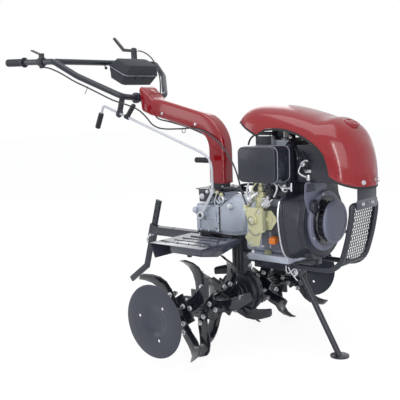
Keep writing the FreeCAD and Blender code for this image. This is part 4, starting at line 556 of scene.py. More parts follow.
# ---------------------------------------------------------------- final drive and gearbox
class TILLER_OT_drive(bpy.types.Operator):
    """Final drive, gearbox and bell housing"""
    bl_idname = "tiller.drive"
    bl_label = "Drive"

    def execute(self, context):
        edge = details().edge
        softened("final_drive", "case_enamel", edge * 1.6, 3)
        softened("gearbox", "cast_alloy", edge * 1.3, 3)
        softened("bell_housing", "cast_alloy", edge)
        self.rim_bolts()
        self.leg_ribs()
        self.gaskets()
        self.cast_ribs()
        self.case_bolts()
        self.column_seat()
        self.shift_gate()
        return {"FINISHED"}

    def rim_bolts(self):
        """Bolts round the final drive's rim, on both faces, but for those that the leg covers."""
        circle, first_angle, count, face, leg_foot = 95, 22, 8, 7, 80
        rows = []
        for step in range(count):
            angle = math.radians(first_angle + step * 360 / count)
            x, z = circle * math.cos(angle), circle * math.sin(angle)
            if z < leg_foot:
                rows += [(at(x, side * face, AXLE_HEIGHT + z), LEFT * side, 6, 0) for side in (1, -1)]
        bolts("final_drive_rim_bolts", rows, "powder_coat")

    def leg_ribs(self):
        """Ribs down the final drive's leg and stepped rings round its hubs."""
        ribs = [block(at(x, y, 292), at(x + 6, y + side * 4, 448), 0.0015)
                for x in (-14, 6, 24) for side, y in ((1, 28), (-1, -28))]
        settle(ribs, "final_drive_leg_ribs", "case_enamel")
        hubs = [turned(at(0, side * 36, AXLE_HEIGHT), LEFT * side,
                       [(34, 0), (62, 0), (64, 3), (62, 6), (44, 9), (41, 13), (34.3, 13), (34.3, 0)])
                for side in (1, -1)]
        settle(hubs, "final_drive_hub_rings", "case_enamel")

    def gaskets(self):
        joint = [block(at(-39, y - 1, 466), at(-34, y + 1, 590), 0.0006) for y in (94.4, -94.4)]
        settle(joint, "gearbox_joint_gasket", "soft_rubber")
        settle([block(at(-172, -88, 455), at(-38, 88, 461), 0.001)], "gearbox_base_gasket", "soft_rubber")

    def cast_ribs(self):
        """Ribs, bosses and curved beads of the aluminium case, and the plug at its back."""
        ribs = []
        for side in (1, -1):
            for x in (-160, -70):
                ribs.append(block(at(x, side * 83, 470), at(x + 7, side * 88, 560), 0.002, 3))
            ribs.append(block(at(-168, side * 83, 520), at(-32, side * 87.5, 527), 0.002, 3))
            for x, z, radius in ((-137, 536, 24), (-60, 500, 17)):
                ribs.append(turned(at(x, side * 83, z), LEFT * side,
                                   [(0, 0), (radius, 0), (radius - 1, 5), (radius - 3, 6.5), (0, 6.5)]))
            ribs.append(turned(at(25, side * 89, 584), LEFT * side,
                               [(0, 0), (18, 0), (17, 3), (15, 4), (0, 4)]))
            for reach in (-74, -2):
                ribs.append(hose(0.004, (-37, side * 92, 592), ((reach - 37) / 2, side * 90, 607),
                                 (reach, side * 80, 616)))
        ribs.append(turned(at(-176, -78, 554), BACK, [(0, -6), (14, -6), (14, 16), (12, 19), (0, 20)], 32))
        settle(ribs, "gearbox_cast_ribs", "cast_alloy")

    def case_bolts(self):
        dull, bright = [], []
        for side in (1, -1):
            dull += [(at(-43, side * 93, z), LEFT * side, 7, 0) for z in (474, 515, 556)]
            bright.append((at(25, side * 93, 584), LEFT * side, 12, 0))
            dull += [(at(x, side * 84, 470), LEFT * side, 6, 0) for x in (-150, -105, -60)]
        bolts("gearbox_joint_bolts", dull, "cast_alloy")
        bolts("gearbox_bolts", bright + [(at(-130, -56, 617), RIGHT, 9, 3), (at(-60, -56, 605), RIGHT, 9, 3),
                                         (at(-185, -52, 553), BACK, 8, 0)])
        bolts("gearbox_yellow_nuts", [(at(-51, -86, 640), RIGHT, 8, 3), (at(-27, -86, 631), RIGHT, 8, 3),
                                      (at(-150, 30, 640), BACK, 8, 0)], "yellow_zinc")

    def column_seat(self):
        """Cheeks, lip and feet of the bracket that carries the column."""
        cheek = ((-153, 594), (-157, 650), (-62, 650), (-16, 646), (-10, 626), (-84, 620), (-90, 596))
        seat = [sheet([at(x, side * 82, z) for x, z in cheek], LEFT * side, 0.005) for side in (-1, 1)]
        seat.append(block(at(-172, -90, 648.6), at(-38, 90, 652.2), SHEET_EDGE))
        seat += [block(at(x, side * 54, 600), at(x + 16, side * 82, 606), 0.001)
                 for side in (-1, 1) for x in (-150, -60)]
        settle(seat, "column_seat_plates", "powder_coat")
        bolts("column_seat_bolts", [(at(-135, -87.5, 618), RIGHT, 11, 5), (at(-106, -87.5, 640), RIGHT, 7, 0),
                                    (at(-135, 87.5, 618), LEFT, 11, 5)])

    def shift_gate(self):
        bars = [hose(0.006, (-40, side * 70, 655), (0, side * 74, 662), (40, side * 72, 660),
                     (66, side * 66, 652), (72, side * 60, 636)) for side in (-1, 1)]
        settle(bars, "shift_gate_bars", "powder_coat")
        spring = [turned(at(-28, -88, 612), RIGHT, [(8, -2), (15, -2), (15, 3), (13, 5), (8, 5), (8, -2)]),
                  hose(0.002, (-46, -92, 640), (-66, -94, 600), (-52, -95, 578), (-26, -95, 584),
                       (-8, -92, 610), (-14, -88, 628))]
        settle(spring, "shift_return_spring", "bright_zinc")


# ---------------------------------------------------------------- engine
class TILLER_OT_engine(bpy.types.Operator):
    """Engine with its fan housing, starter, air cleaner, governor plate and pipes"""
    bl_idname = "tiller.engine"
    bl_label = "Engine"

    def execute(self, context):
        edge = details().edge
        softened("engine_block", "cast_alloy", edge)
        softened("engine_foot", "cast_alloy", edge)
        softened("cylinder", "cast_alloy", SHEET_EDGE, 1)
        softened("fan_shroud", "powder_coat", edge * 1.5, 3)
        softened("governor_plate", "yellow_zinc", SHEET_EDGE)
        softened("exhaust_box", "powder_coat", edge)
        softened("fuel_tank", "powder_coat", edge)
        softened("hood_bracket", "powder_coat", SHEET_EDGE)
        self.starter()
        self.air_cleaner()
        self.breather_hoses()
        self.fuel_tap()
        self.fan_housing()
        self.governor()
        self.crankcase()
        self.injection_pump()
        self.fuel_pipes()
        self.fuel_filter()
        self.cylinder_head()
        self.breather_box()
        return {"FINISHED"}

    def starter(self):
        """Recoil starter: domed face, slotted cup, bolted ring, boss and pull handle."""
        centre = Vector((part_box("recoil_starter")[1].x, 0, middle("recoil_starter").z))
        face = turned(centre, AHEAD, [(0, -1.6), (30, -1.6), (56, -1.2), (62, -2.2), (64, -0.6), (67, -0.2),
                                      (76, -1.4), (83, -4), (86.5, -8), (87.5, -12), (86, -15), (82, -16),
                                      (0, -16)], WIDE_STEPS)
        settle([face], "recoil_starter_face", "starter_enamel", smooth_below=40, instead=("recoil_starter",))
        cup = turned(centre, AHEAD, [(0, -14), (81, -14), (81, -19), (77, -21), (77, -40), (81, -42),
                                     (84, -46), (97, -47), (99, -52), (99, -61), (0, -61)], WIDE_STEPS)
        settle([cup], "recoil_starter_cup", "gloss_enamel", smooth_below=40)
        ribs = []
        count = details().cup_ribs
        for step in range(count):
            rib = block((-0.041, -0.0022, 0.0745), (-0.020, 0.0022, 0.0806), 0.001)
            turn = Matrix.Rotation(math.tau * step / count, 4, "X")
            ribs.append(moved(rib, Matrix.Translation(centre) @ turn))
        settle(ribs, "recoil_starter_ribs", "lever_plastic")
        ring = turned(centre, AHEAD, [(96, -61), (96, -51), (99, -48), (106, -47), (109, -45.5), (113, -47),
                                      (118, -48), (121, -52), (121.8, -57), (121.8, -61), (96, -61)], 72)
        settle([ring], "recoil_starter_ring", "starter_enamel")
        rows = []
        for angle in (30, 106, 209, 330):
            out = LEFT * math.cos(math.radians(angle)) + UP * math.sin(math.radians(angle))
            rows.append((centre + BACK * 0.046 + out * 0.113, AHEAD, 5, 0))
        bolts("recoil_starter_bolts", rows)
        boss = turned(centre + Vector((-0.049, -0.094, 0.068)), AHEAD,
                      [(0, 0), (26, 0), (28, 4), (27, 12), (23, 16), (13, 17), (11, 14), (0, 14)])
        handle = pipe([centre + Vector(step) for step in ((-0.03, 0.08, -0.045), (-0.028, 0.105, -0.06),
                                                          (-0.026, 0.13, -0.066))], 0.008)
        settle([boss, handle], "recoil_starter_boss_and_handle", "powder_coat")

    def air_cleaner(self):
        """Pressed box with two beaded rims, pale with a painted highlight, and the neck to the head."""
        low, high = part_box("air_cleaner")
        far, corner = low.y + 0.104, 0.024
        neck_centre = Vector(((low.x + high.x) / 2, far + 0.020, high.z - 0.084))
        box = self.pressed_box(low, Vector((high.x, far, high.z)), corner)
        neck = drum(neck_centre, LEFT, 0.024, 0.036)
        settle([box, neck], "air_cleaner_box", "powder_coat", smooth_below=40, instead=("air_cleaner",))
        # the rims' pale finish is a painted highlight along the edges of the black box
        rims = [closed_pipe(self.rim(low, high, corner, y), details().bead)
                for y in (low.y + 0.020, far - 0.003)]
        settle(rims, "air_cleaner_rims", "painted_highlight_edge")

    def pressed_box(self, low, high, corner):
        """A box whose edges across the machine are rounded wide and whose others are soft."""
        box = cube(low, high)
        edit(box)
        pick_edges(box, lambda edge: abs((edge.verts[1].co - edge.verts[0].co).normalized().y) > 0.9)
        bpy.ops.mesh.bevel(offset=corner, segments=8, affect="EDGES")
        return round_sharp(done(box), 0.005, 3, 60)

    def rim(self, low, high, corner, y):
        """The outline of the pressed box, in a plane across Y."""
        points = []
        for x, z, start in ((high.x - corner, high.z - corner, 0), (low.x + corner, high.z - corner, 90),
                            (low.x + corner, low.z + corner, 180), (high.x - corner, low.z + corner, 270)):
            for step in range(5):
                angle = math.radians(start + step * 22.5)
                points.append(Vector((x + corner * math.cos(angle), y, z + corner * math.sin(angle))))
        return points

    def breather_hoses(self):
        settle([hose(0.0035, (362, -104, 838), (380, -116, 816), (396, -118, 780), (410, -108, 742),
                     (420, -100, 716)),
                hose(0.003, (396, -108, 824), (418, -118, 800), (424, -112, 766), (412, -106, 738))],
               "breather_hoses", "soft_rubber")

    def fuel_tap(self):
        """Tap body with its spigots, lever and bent pipe, and the tap's foot."""
        settle([drum(at(404, -110, 778), RIGHT, 0.011, 0.018), drum(at(404, -122, 778), RIGHT, 0.006, 0.014),
                hose(0.004, (404, -124, 784), (420, -126, 796), (434, -124, 790)),
                hose(0.0035, (396, -116, 770), (384, -122, 752), (398, -122, 734), (418, -116, 728)),
                drum(at(424, -108, 726), UP, 0.009, 0.022), drum(at(380, -108, 800), RIGHT, 0.006, 0.012),
                block(at(408, -112, 744), at(438, -101, 756), 0.002)], "fuel_tap", "bright_zinc")

    def fan_housing(self):
        """Rolled edges, light joint strip, mount plate, louvres and bolts of the fan housing."""
        half_outline = [(110, 402), (158, 422), (183, 468), (197, 530), (202, 590), (190, 638), (140, 652)]
        rims = [pipe(smooth([at(x, side * (y + grow), z) for y, z in half_outline]), radius)
                for x, grow, radius in ((354, -1, 0.0026), (364, -8, 0.0022)) for side in (-1, 1)]
        for x, profile in ((400, [(147, -3), (151.5, -2), (153, 0), (151.5, 2), (147, 3), (147, -3)]),
                           (424, [(128, -2), (150, -3), (151, -1), (149, 1), (128, 0.6), (128, -2)])):
            rims.append(turned(at(x, 0, 545), AHEAD, profile, WIDE_STEPS))
        settle(rims, "fan_housing_rolled_edges", "powder_coat")
        strips = [pipe(smooth([at(345, side * (y + 1.5), z) for y, z in half_outline[:-1]]), 0.004)
                  for side in (-1, 1)]
        settle(strips, "fan_housing_joint_strip", "bright_zinc")
        plate = ((-60, 560), (-118, 590), (-140, 645), (-137, 700), (-128, 709), (-80, 717), (17, 706),
                 (19, 664), (60, 650), (104, 612), (60, 560))
        settle([sheet([at(424.2, y, z) for y, z in plate], AHEAD, 0.003)], "starter_mount_plate",
               "starter_enamel")
        bolts("fan_housing_bolts", [(at(353, side * y, z), AHEAD, 6, 0) for side in (-1, 1)
                                    for y, z in ((146, 434), (178, 500), (182, 610))])
        bolts("fan_housing_nuts", [(at(354, -158, 630), (0.5, -0.8, 0), 9, 2)], "yellow_zinc")
        louvres = []
        for step in range(6):
            z = middle("recoil_starter").z + 0.126 + step * 0.0052
            louvres.append(block((at(426, 0, 0).x, -0.130 + step * 0.001, z),
                                 (at(429, 0, 0).x, -0.062 - step * 0.003, z + 0.0026), 0.0006))
        settle(louvres, "fan_housing_louvres", "lever_plastic")

    def governor(self):
        """Caps, slotted arc, link, bearing and screws on the governor plate."""
        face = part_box("governor_plate")[0].y * 1000
        cap = turned(at(210, face + 0.4, 556), RIGHT,
                     [(0, -6), (18, -6), (18, 0), (16, 2), (11, 2.4), (9, 5), (0, 5.6)])
        arc = hose(0.004, (186, face + 11, 512), (204, face + 11, 494), (224, face + 11, 492),
                   (240, face + 11, 504))
        lobe = turned(at(268, face + 23, 560), RIGHT, [(0, 0), (24, 0), (24, 3), (9, 4), (8, 14), (0, 14)])
        wire = hose(0.002, (228, face - 2, 580), (250, face - 6, 610), (272, face - 4, 640))
        settle([cap, lobe], "governor_caps", "yellow_zinc")
        ring = turned(at(206, face, 552), RIGHT,
                      [(14, -3), (19, -3), (19, 2), (17.5, 3), (14, 2), (14, -3)], 32)
        settle([ring, block(at(258, face + 2, 516), at(271, face + 40, 594), 0.003, 3)], "governor_bearing",
               "olive_plastic")
        settle([arc, wire], "governor_arc_and_link", "pump_steel")
        rows = [(at(x, face + 11.5, z), RIGHT, 5, 0) for x, z in ((168, 592), (236, 586), (196, 460))]
        bolts("governor_bolts", rows + [(at(210, face - 6, 556), RIGHT, 6, 6)])

    def crankcase(self):
        """Dipstick, drain plug, a dark grey panel of painted shade with its bolts, seams, ribs and bolts of
        the crankcase.
        """
        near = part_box("engine_block")[0].y
        face = near * 1000
        stick = turned(at(278, face, 472), RIGHT,
                       [(0, 0), (11, 0), (11, 20), (17, 22), (18, 27), (15, 36), (8, 40), (0, 41)], 32)
        tab = block(at(270, face - 52, 460), at(300, face - 40, 486), 0.004, 3)
        settle([stick, tab], "oil_dipstick", "signal_orange")
        plug = turned(at(234, face, 412), RIGHT, [(0, 0), (15, 0), (15, 10), (12, 12), (12, 18), (0, 19)], 24)
        settle([plug], "oil_drain_plug", "olive_plastic")
        # painted shade: a dark grey plate on the crankcase's near side where only shade falls, with bolts at
        # its corners
        cover = block(at(200, face - 3.5, 426), at(312, face + 2, 604), 0.003, 3)
        settle([cover], "crankcase_painted_shade_panel", "painted_shade_grey")
        bolts("painted_shade_panel_bolts", [(at(x, face - 3, z), RIGHT, 5, 0)
                                   for x in (208, 304) for z in (436, 516, 594)])
        foot_low, foot_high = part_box("engine_foot")
        ribs = []
        for side in (-1, 1):
            y = side * abs(near)
            ribs.append(block((foot_low.x + 0.01, y - 0.002, foot_high.z + 0.05),
                              (foot_high.x - 0.01, y + 0.002, foot_high.z + 0.056), 0.001))
            for x in (186, 240, 300):
                ribs.append(block(at(x, y * 1000 - 4, 430), at(x + 8, y * 1000 + 4, 500), 0.002, 3))
        settle(ribs, "crankcase_ribs", "cast_alloy")
        rows = [(at(x, side * 128, 408), UP, 9, 3) for side in (1, -1) for x in (166, 330)]
        rows += [(at(x, side * 112, z), LEFT * side, 7, 0) for side in (1, -1)
                 for x, z in ((150, 430), (330, 440), (335, 600), (150, 640))]
        bolts("crankcase_bolts", rows)

    def injection_pump(self):
        """Stepped barrel of the pump with its two collars and its hooked pipe."""
        barrel = turned(at(214, -130, 592), UP,
                        [(0, 0), (22, 0), (24, 3), (24, 24), (20, 28), (20, 52), (16, 56), (16, 70), (12, 74),
                         (12, 92), (8, 95), (8, 108), (0, 109)], 24)
        settle([barrel, block(at(184, -142, 622), at(250, -114, 634), 0.003),
                block(at(196, -146, 640), at(236, -114, 664), 0.004),
                hose(0.0035, (212, -136, 700), (212, -146, 706), (200, -150, 694), (186, -152, 676),
                     (179, -150, 640))], "injection_pump_body", "yellow_zinc", instead=("injection_pump",))

    def fuel_pipes(self):
        """Steel pipes between pump, filter and injector, with their unions."""
        settle([hose(0.008, (168, -146, 604), (176, -152, 630), (196, -152, 650), (214, -148, 660)),
                drum(at(176, -150, 628), (0.5, -0.6, 0.6), 0.013, 0.014),
                drum(at(196, -154, 664), RIGHT, 0.005, 0.012), drum(at(262, -146, 644), RIGHT, 0.006, 0.014),
                hose(0.0045, (256, -134, 700), (276, -152, 706), (304, -154, 704), (312, -152, 676),
                     (290, -148, 648)),
                hose(0.004, (312, -148, 700), (330, -152, 690), (338, -152, 668), (356, -150, 676)),
                drum(at(352, -148, 686), AHEAD, 0.006, 0.036), drum(at(372, -148, 690), UP, 0.004, 0.034),
                drum(at(334, -146, 690), (0.4, -0.8, 0.3), 0.009, 0.010),
                turned(at(248, -140, 620), RIGHT,
                       [(0, 0), (21, 0), (22, 2), (22, 9), (18, 11), (15, 8), (0, 8)], 28),
                hose(0.0035, (284, -150, 638), (268, -156, 622), (248, -160, 602)),
                hose(0.004, (168, -148, 702), (160, -152, 672), (158, -152, 640), (166, -150, 612))],
               "fuel_pipes_and_unions", "bright_zinc")

    def fuel_filter(self):
        settle([block(at(172, -128, 656), at(206, -108, 702), 0.003),
                block(at(262, -136, 636), at(296, -112, 690), 0.004),
                turned(at(270, -138, 672), RIGHT, [(0, 0), (14, 0), (14, 8), (11, 10), (0, 10)], 24),
                block(at(300, -146, 652), at(344, -114, 676), 0.004),
                hose(0.0035, (236, -140, 664), (262, -152, 694), (270, -150, 700), (276, -150, 664))],
               "fuel_filter_and_hoses", "lever_plastic")

    def cylinder_head(self):
        """Rocker cover's lid, decompression lever and head nuts."""
        top = (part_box("cylinder")[1].z - at(0, 0, 0).z) * 1000
        lid = block(at(186, -52, top - 8), at(312, 52, top + 4), 0.005, 3)
        lever = [hose(0.005, (258, -40, 866), (270, -56, 872), (296, -60, 868)),
                 turned(at(258, -40, 840), UP, [(0, 0), (18, 0), (18, 10), (11, 14), (11, 28), (0, 30)], 28)]
        settle([lid], "rocker_cover_lid", "powder_coat")
        settle(lever, "decompression_lever", "cast_alloy")
        rows = [(at(x, y, 870), UP, 8, 3) for x in (200, 298) for y in (-40, 40)]
        rows += [(at(x, y, 806), UP, 8, 8) for x in (182, 314) for y in (-74, 74)]
        bolts("cylinder_head_nuts", rows)

    def breather_box(self):
        settle([block(at(150, -68, 838), at(228, -52, 880), 0.003),
                hose(0.004, (104, -60, 844), (110, -62, 866), (140, -62, 888), (172, -60, 892)),
                block(at(140, -66, 884), at(232, -40, 898), 0.004)], "breather_box", "lever_plastic")
        bead = closed_pipe([at(x, -69, z) for x, z in ((150, 838), (150, 880), (228, 880), (228, 838))],
                           details().bead)
        settle([bead, block(at(226, -68, 838), at(236, -52, 882), 0.002)], "breather_box_frame", "cast_alloy")


# ---------------------------------------------------------------- hood
class TILLER_OT_hood(bpy.types.Operator):
    """Hood shell with its rubber edging, fuel cap and bolts"""
    bl_idname = "tiller.hood"
    bl_label = "Hood"

    def execute(self, context):
        softened("hood", "red_enamel", above=50)
        coat("soft_rubber", "hood_edging")
        cap = turned(at(549, 0, 930), (0.38, 0, 0.92),
                     [(0, -8), (34, -8), (34, 2), (31, 5), (24, 6), (22, 3), (10, 3), (8, 6), (0, 6)], 40)
        settle([cap], "fuel_cap", "red_enamel")
        bolts("hood_bolts", [(at(629, -56, 710), (0.9, -0.4, 0), 8, 0), (at(634, 12, 714), AHEAD, 8, 0),
                             (at(629, 56, 710), (0.9, 0.4, 0), 8, 0)])
        return {"FINISHED"}


# ---------------------------------------------------------------- frame, guard and stand
class TILLER_OT_frame(bpy.types.Operator):
    """Frame, guard, front stand, fenders, drawbar and depth bar"""
    bl_idname = "tiller.frame"
    bl_label = "Frame"

    def execute(self, context):
        for node in ("frame", "drawbar", "fender_stay", "column_collar"):
            softened(node, "powder_coat", 0.0012)
        for side_name, side in SIDES:
            self.fender("fender_" + side_name, side)
        self.guard()
        self.top_plate()
        softened("depth_bar", "powder_coat", 0.002, body="depth_bar")
        softened("front_stand", "powder_coat", 0.0012, body="front_stand", above=50)
        coat("powder_coat", "guard_mesh")
        self.frame_bolts()
        self.fender_clamps()
        self.stand_wires()
        self.hitch_pin()
        return {"FINISHED"}

    def fender(self, node, side):
        """Sheet over one reel: pressed ribs, slanted back flap, and flanges at its side and front."""
        inner, outer, back, front, top, thick = 92, 352, -206, 80, 450, 2.5
        ribs, pitch, inset = 4, 52, 45
        pieces = [block(at(back, side * inner, top - thick), at(front, side * outer, top), SHEET_EDGE),
                  block(at(-84, side * (outer - thick), top - 30), at(front, side * outer, top - 1),
                        SHEET_EDGE)]
        for step in range(ribs):
            y = inner + inset + pitch * step
            pieces.append(block(at(back + inset, side * y, top - 1),
                                at(front - inset, side * (y + 10), top + 3), 0.0012))
        flap = ((back, top), (back + 2.5, top - 2.5), (back + 28.5, top - 62), (back + 26, top - 62))
        pieces.append(sheet([at(x, side * inner, z) for x, z in flap], LEFT * side, (outer - inner) / 1000))
        flange = ((outer, top), (outer, top - 30), (outer - 100, top - 48), (inner + 20, top - 20),
                  (inner, top))
        pieces.append(sheet([at(front - thick, side * y, z) for y, z in flange], AHEAD, thick / 1000))
        settle(pieces, node + "_sheet", "fender_coat", smooth_below=34, instead=(node,))

    def guard(self):
        """Guard tube bent round the engine's front, and its lower bar."""
        half, top_x, top_z = 93, 600, 624
        side = ((363.3, 368), (412, 366), (545, 370), (583, 490), (599, 580))
        near = [(x, -half, z) for x, z in side]
        far = [(x, half, z) for x, z in reversed(side)]
        over = [(top_x, y, top_z - drop) for y, drop in ((-half, 22), (-half, 0), (46 - half, 0),
                                                        (half - 46, 0), (half, 0), (half, 22))]
        tube = pipe(places(*near, *over, *far), 0.011, 4)
        bar = hose(0.007, (549, -half, 395), (549, 0, 395), (549, half, 395))
        settle([tube, bar], "guard_tube", "powder_coat", smooth_below=40, instead=("guard_frame",))

    def top_plate(self):
        """Plate with rounded corners on the guard's top bar, and the strut from it up to the hood."""
        front, thick = 611.3, 0.004
        plate = sheet(section(at(front, 0, 625), UP, 0.080, 0.019, 0.012), AHEAD, thick, SHEET_EDGE)
        settle([plate], "guard_top_plate", "fender_coat", smooth_below=34, instead=("lamp_plate",))
        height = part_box("lamp_plate")[1].z
        foot = at(front, -72, 642)
        strut = block(foot, Vector((foot.x + thick, -foot.y, height)), SHEET_EDGE)
        ledge, deep = ((612, -50), (620, -50), (631, -28), (631, 28), (620, 50), (612, 50)), 0.012
        shelf = sheet([Vector((at(x, y, 0).x, y / 1000, height - deep)) for x, y in ledge], UP, deep)
        settle([strut, shelf], "hood_strut", "powder_coat")

    def frame_bolts(self):
        rows = [(at(124, -98, 386), RIGHT, 9, 3), (at(127, -98, 344), RIGHT, 9, 3)]
        for side in (1, -1):
            rows += [(at(x, side * 300, 451), UP, 7, 0) for x in (-100, -40)]
            rows += [(at(-92, side * y, 421), DOWN, 7, 6) for y in (150, 300)]
            rows.append((at(615.4, side * 36, 627), AHEAD, 7, 0))
        bolts("frame_bolts", rows)
        bolts("frame_side_bolts", [(at(x, side * 98.2, 362), LEFT * side, 8, 0) for side in (1, -1)
                                   for x in (170, 335)], "powder_coat")

    def fender_clamps(self):
        clamps = [block(at(-96, side * 300, 414), at(-10, side * 322, 421), 0.002) for side in (1, -1)]
        feet = [turned(at(-20, side * 311, 414), DOWN, [(0, 0), (11, 0), (11, 9), (8, 12), (0, 12)], 20)
                for side in (1, -1)]
        settle(clamps + feet, "fender_clamps", "powder_coat")

    def stand_wires(self):
        """Bent spring pin that locks the stand, and the stand's bolts."""
        loop = places((310, -102, 366), (307, -104, 342), (323, -104, 330), (341, -104, 354),
                      (357, -104, 362), (366, -104, 342), (349, -104, 324), (333, -104, 338),
                      (321, -104, 362))
        tail = places((329, -104, 350), (345, -104, 326), (364, -104, 312))
        settle([pipe(loop, 0.0026, order=4), pipe(tail, 0.0026)], "stand_lock_wire", "bright_zinc")
        bolts("stand_bolt", [(at(306, -27.5, 322), RIGHT, 10, 0), (at(306, 27.5, 322), LEFT, 10, 4),
                             (at(352, -98.5, 344), RIGHT, 7, 0)])

    def hitch_pin(self):
        """Cross pin with its handle through the depth bar's socket, and the drawbar's bolts."""
        settle([hose(0.006, (-516, -44, 404), (-516, -34, 404), (-516, -20, 404)),
                hose(0.0045, (-516, -44, 404), (-526, -46, 392), (-538, -46, 378), (-530, -46, 366))],
               "depth_bar_pin", "bright_zinc")
        bolts("hitch_bolts", [(at(-186, side * 44, z), BACK, 9, 0) for side in (1, -1) for z in (388, 446)])


# ---------------------------------------------------------------- column and handlebar
class TILLER_OT_column(bpy.types.Operator):
    """Red column with its head, collar, screws and seams"""
    bl_idname = "tiller.column"
    bl_label = "Column"

    def execute(self, context):
        self.shell()
        self.head_seam()
        self.post()
        softened("handle_hub", "powder_coat")
        bolts("column_screws", [(at(x, side * y, z), LEFT * side, 6, 0)
                                for x, y, z in ((-407, 38.6, 981), (-207, 36, 930)) for side in (1, -1)])
        bolts("collar_bolts", [(at(-98 + x, y, 649.7), UP, 8, 4) for x in (-37, 37) for y in (-37, 37)])
        return {"FINISHED"}

    def shell(self):
        """Upright, bend and upper run in one pressed box section that widens into the head."""
        half, tall, thinner, corner, inner = 36, 44, 2, 0.016, 84
        bend = at(-224, 0, 820)
        rings = [section(at(-96, 0, z), AHEAD, half / 1000, tall / 1000, corner)
                 for z in (672, 674, 746, 820)]
        rise = math.radians(14.5)
        turns = 10
        for step in range(1, turns + 1):
            angle = (math.pi / 2 - rise) * step / turns
            deep = tall - thinner * step / turns
            out = Vector((math.cos(angle), 0, math.sin(angle)))
            rings.append(section(bend + out * (inner + deep) / 1000, out, half / 1000, deep / 1000, corner))
        run_up = Vector((math.sin(rise), 0, math.cos(rise)))
        run_way = Vector((-math.cos(rise), 0, math.sin(rise)))
        deep = tall - thinner
        start = bend + run_up * (inner + deep) / 1000
        for along, wide in ((60, 36), (130, 36), (185, 36.5), (222, 38), (246, 40)):
            rings.append(section(start + run_way * along / 1000, run_up, wide / 1000, deep / 1000, 0.017))
        head = (((-452, 1049), (-446, 966), 43, 17), ((-466, 1052), (-452, 968), 46, 17),
                ((-474, 1059), (-456, 969), 47, 17), ((-518, 1100), (-476, 974), 52, 16),
                ((-525, 1105), (-484, 978), 53, 16), ((-534, 1107), (-517, 990), 54, 16))
        for high, low, wide, rounding in head:
            rings.append(section_between(at(high[0], 0, high[1]), at(low[0], 0, low[1]), wide / 1000,
                                         rounding / 1000))
        settle([lofted(rings)], "column_shell", "red_enamel", smooth_below=35,
               instead=("handle_column", "column_head"))

    def head_seam(self):
        ring = section_between(at(-490, 0, 1075), at(-447, 0, 968), 0.0475, 0.017)
        seam = closed_pipe(ring, details().bead)
        badge = turned(at(-499, 0, 1082), (0.68, 0, 0.73), [(0, -1), (19, -1), (19, 1.2), (17.5, 2), (0, 2)])
        settle([seam, badge], "head_seam_and_bare_badge", "red_enamel")

    def post(self):
        """Square post between the collar and the column."""
        rings = [section(at(-98, 0, z), AHEAD, wide, wide, 0.010)
                 for z, wide in ((649.2, 0.031), (668, 0.031), (668.4, 0.034), (672, 0.034))]
        settle([lofted(rings)], "column_post", "powder_coat")


class TILLER_OT_handlebar(bpy.types.Operator):
    """Handlebar tubes, ribbed grips, ties and the crossbar's catch"""
    bl_idname = "tiller.handlebar"
    bl_label = "Handlebar"

    def execute(self, context):
        coat("powder_coat", "handle_arm_left", "handle_arm_right", "crossbar", "rod_guide")
        for side_name, side in SIDES:
            self.grip("hand_grip_" + side_name, side)
        settle([drum(at(-752, -60, 1207), AHEAD, 0.007, 0.010, 0.003),
                hose(0.003, (-752, -60, 1207), (-768, -50, 1212), (-786, -36, 1220))], "crossbar_catch",
               "lever_plastic")
        settle([hose(0.0014, (-666, -254, 1117), (-668, -256, 1108), (-672, -260, 1094), (-680, -262, 1082))],
               "cable_tie_tail", "soft_rubber")
        hub = middle("handle_hub") + (UP - AHEAD) * 0.012
        bolts("hub_bolts", [(Vector((hub.x, side * 0.0625, hub.z)), LEFT * side, 12, 3) for side in (1, -1)])
        return {"FINISHED"}

    def grip(self, node, side):
        """Hand grip with ribs all round and a flared collar."""
        end = at(-1137, side * 353, 1249)
        way = (at(-803, side * 334, 1236) - end).normalized()
        ribs = details().grip_ribs
        long, smooth_end = 128, 32
        profile = [(0, 0), (15, 0), (18, 3)]
        for step in range(ribs):
            x = 8 + step * (long - smooth_end) / ribs
            profile += [(18.2, x), (18.2, x + 2.6), (16.8, x + 3.4), (16.8, x + 4.8)]
        profile += [(17.5, long - 20), (19, long - 12), (24, long - 3), (24, long), (14.3, long), (14.3, 5),
                    (0, 5)]
        grip = turned(end, way, profile, 32)
        settle([grip], node + "_ribbed", "grip_rubber", smooth_below=40, instead=(node,))


# ---------------------------------------------------------------- toolbox
class TILLER_OT_toolbox(bpy.types.Operator):
    """Toolbox with its domed lid, its bead pale with a painted highlight, and latches"""
    bl_idname = "tiller.toolbox"
    bl_label = "Toolbox"

    def execute(self, context):
        softened("toolbox_tub", "box_plastic", 0.004, 3, above=25)
        softened("toolbox_lid", "box_plastic", 0.010, 4, "toolbox_lid", 25)
        slope = Matrix.Translation(at(-778, 0, 1226)) @ Matrix.Rotation(math.radians(26), 4, "Y")
        seam = [slope @ (Vector((x, y, -2.4)) / 1000)
                for x, y in ((1, -22.6), (122, -22.6), (134.6, -10), (134.6, 196), (122, 208.6), (1, 208.6))]
        # the bead's pale finish is a painted highlight along the lid's seam
        settle([closed_pipe(seam, 0.0018)], "toolbox_bead", "painted_highlight_edge")
        latches = [moved(block((0.133, y - 0.008, -0.020), (0.139, y + 0.008, -0.003), 0.0015), slope)
                   for y in (0.054, 0.112)]
        settle(latches, "toolbox_latches", "lever_plastic")
        return {"FINISHED"}


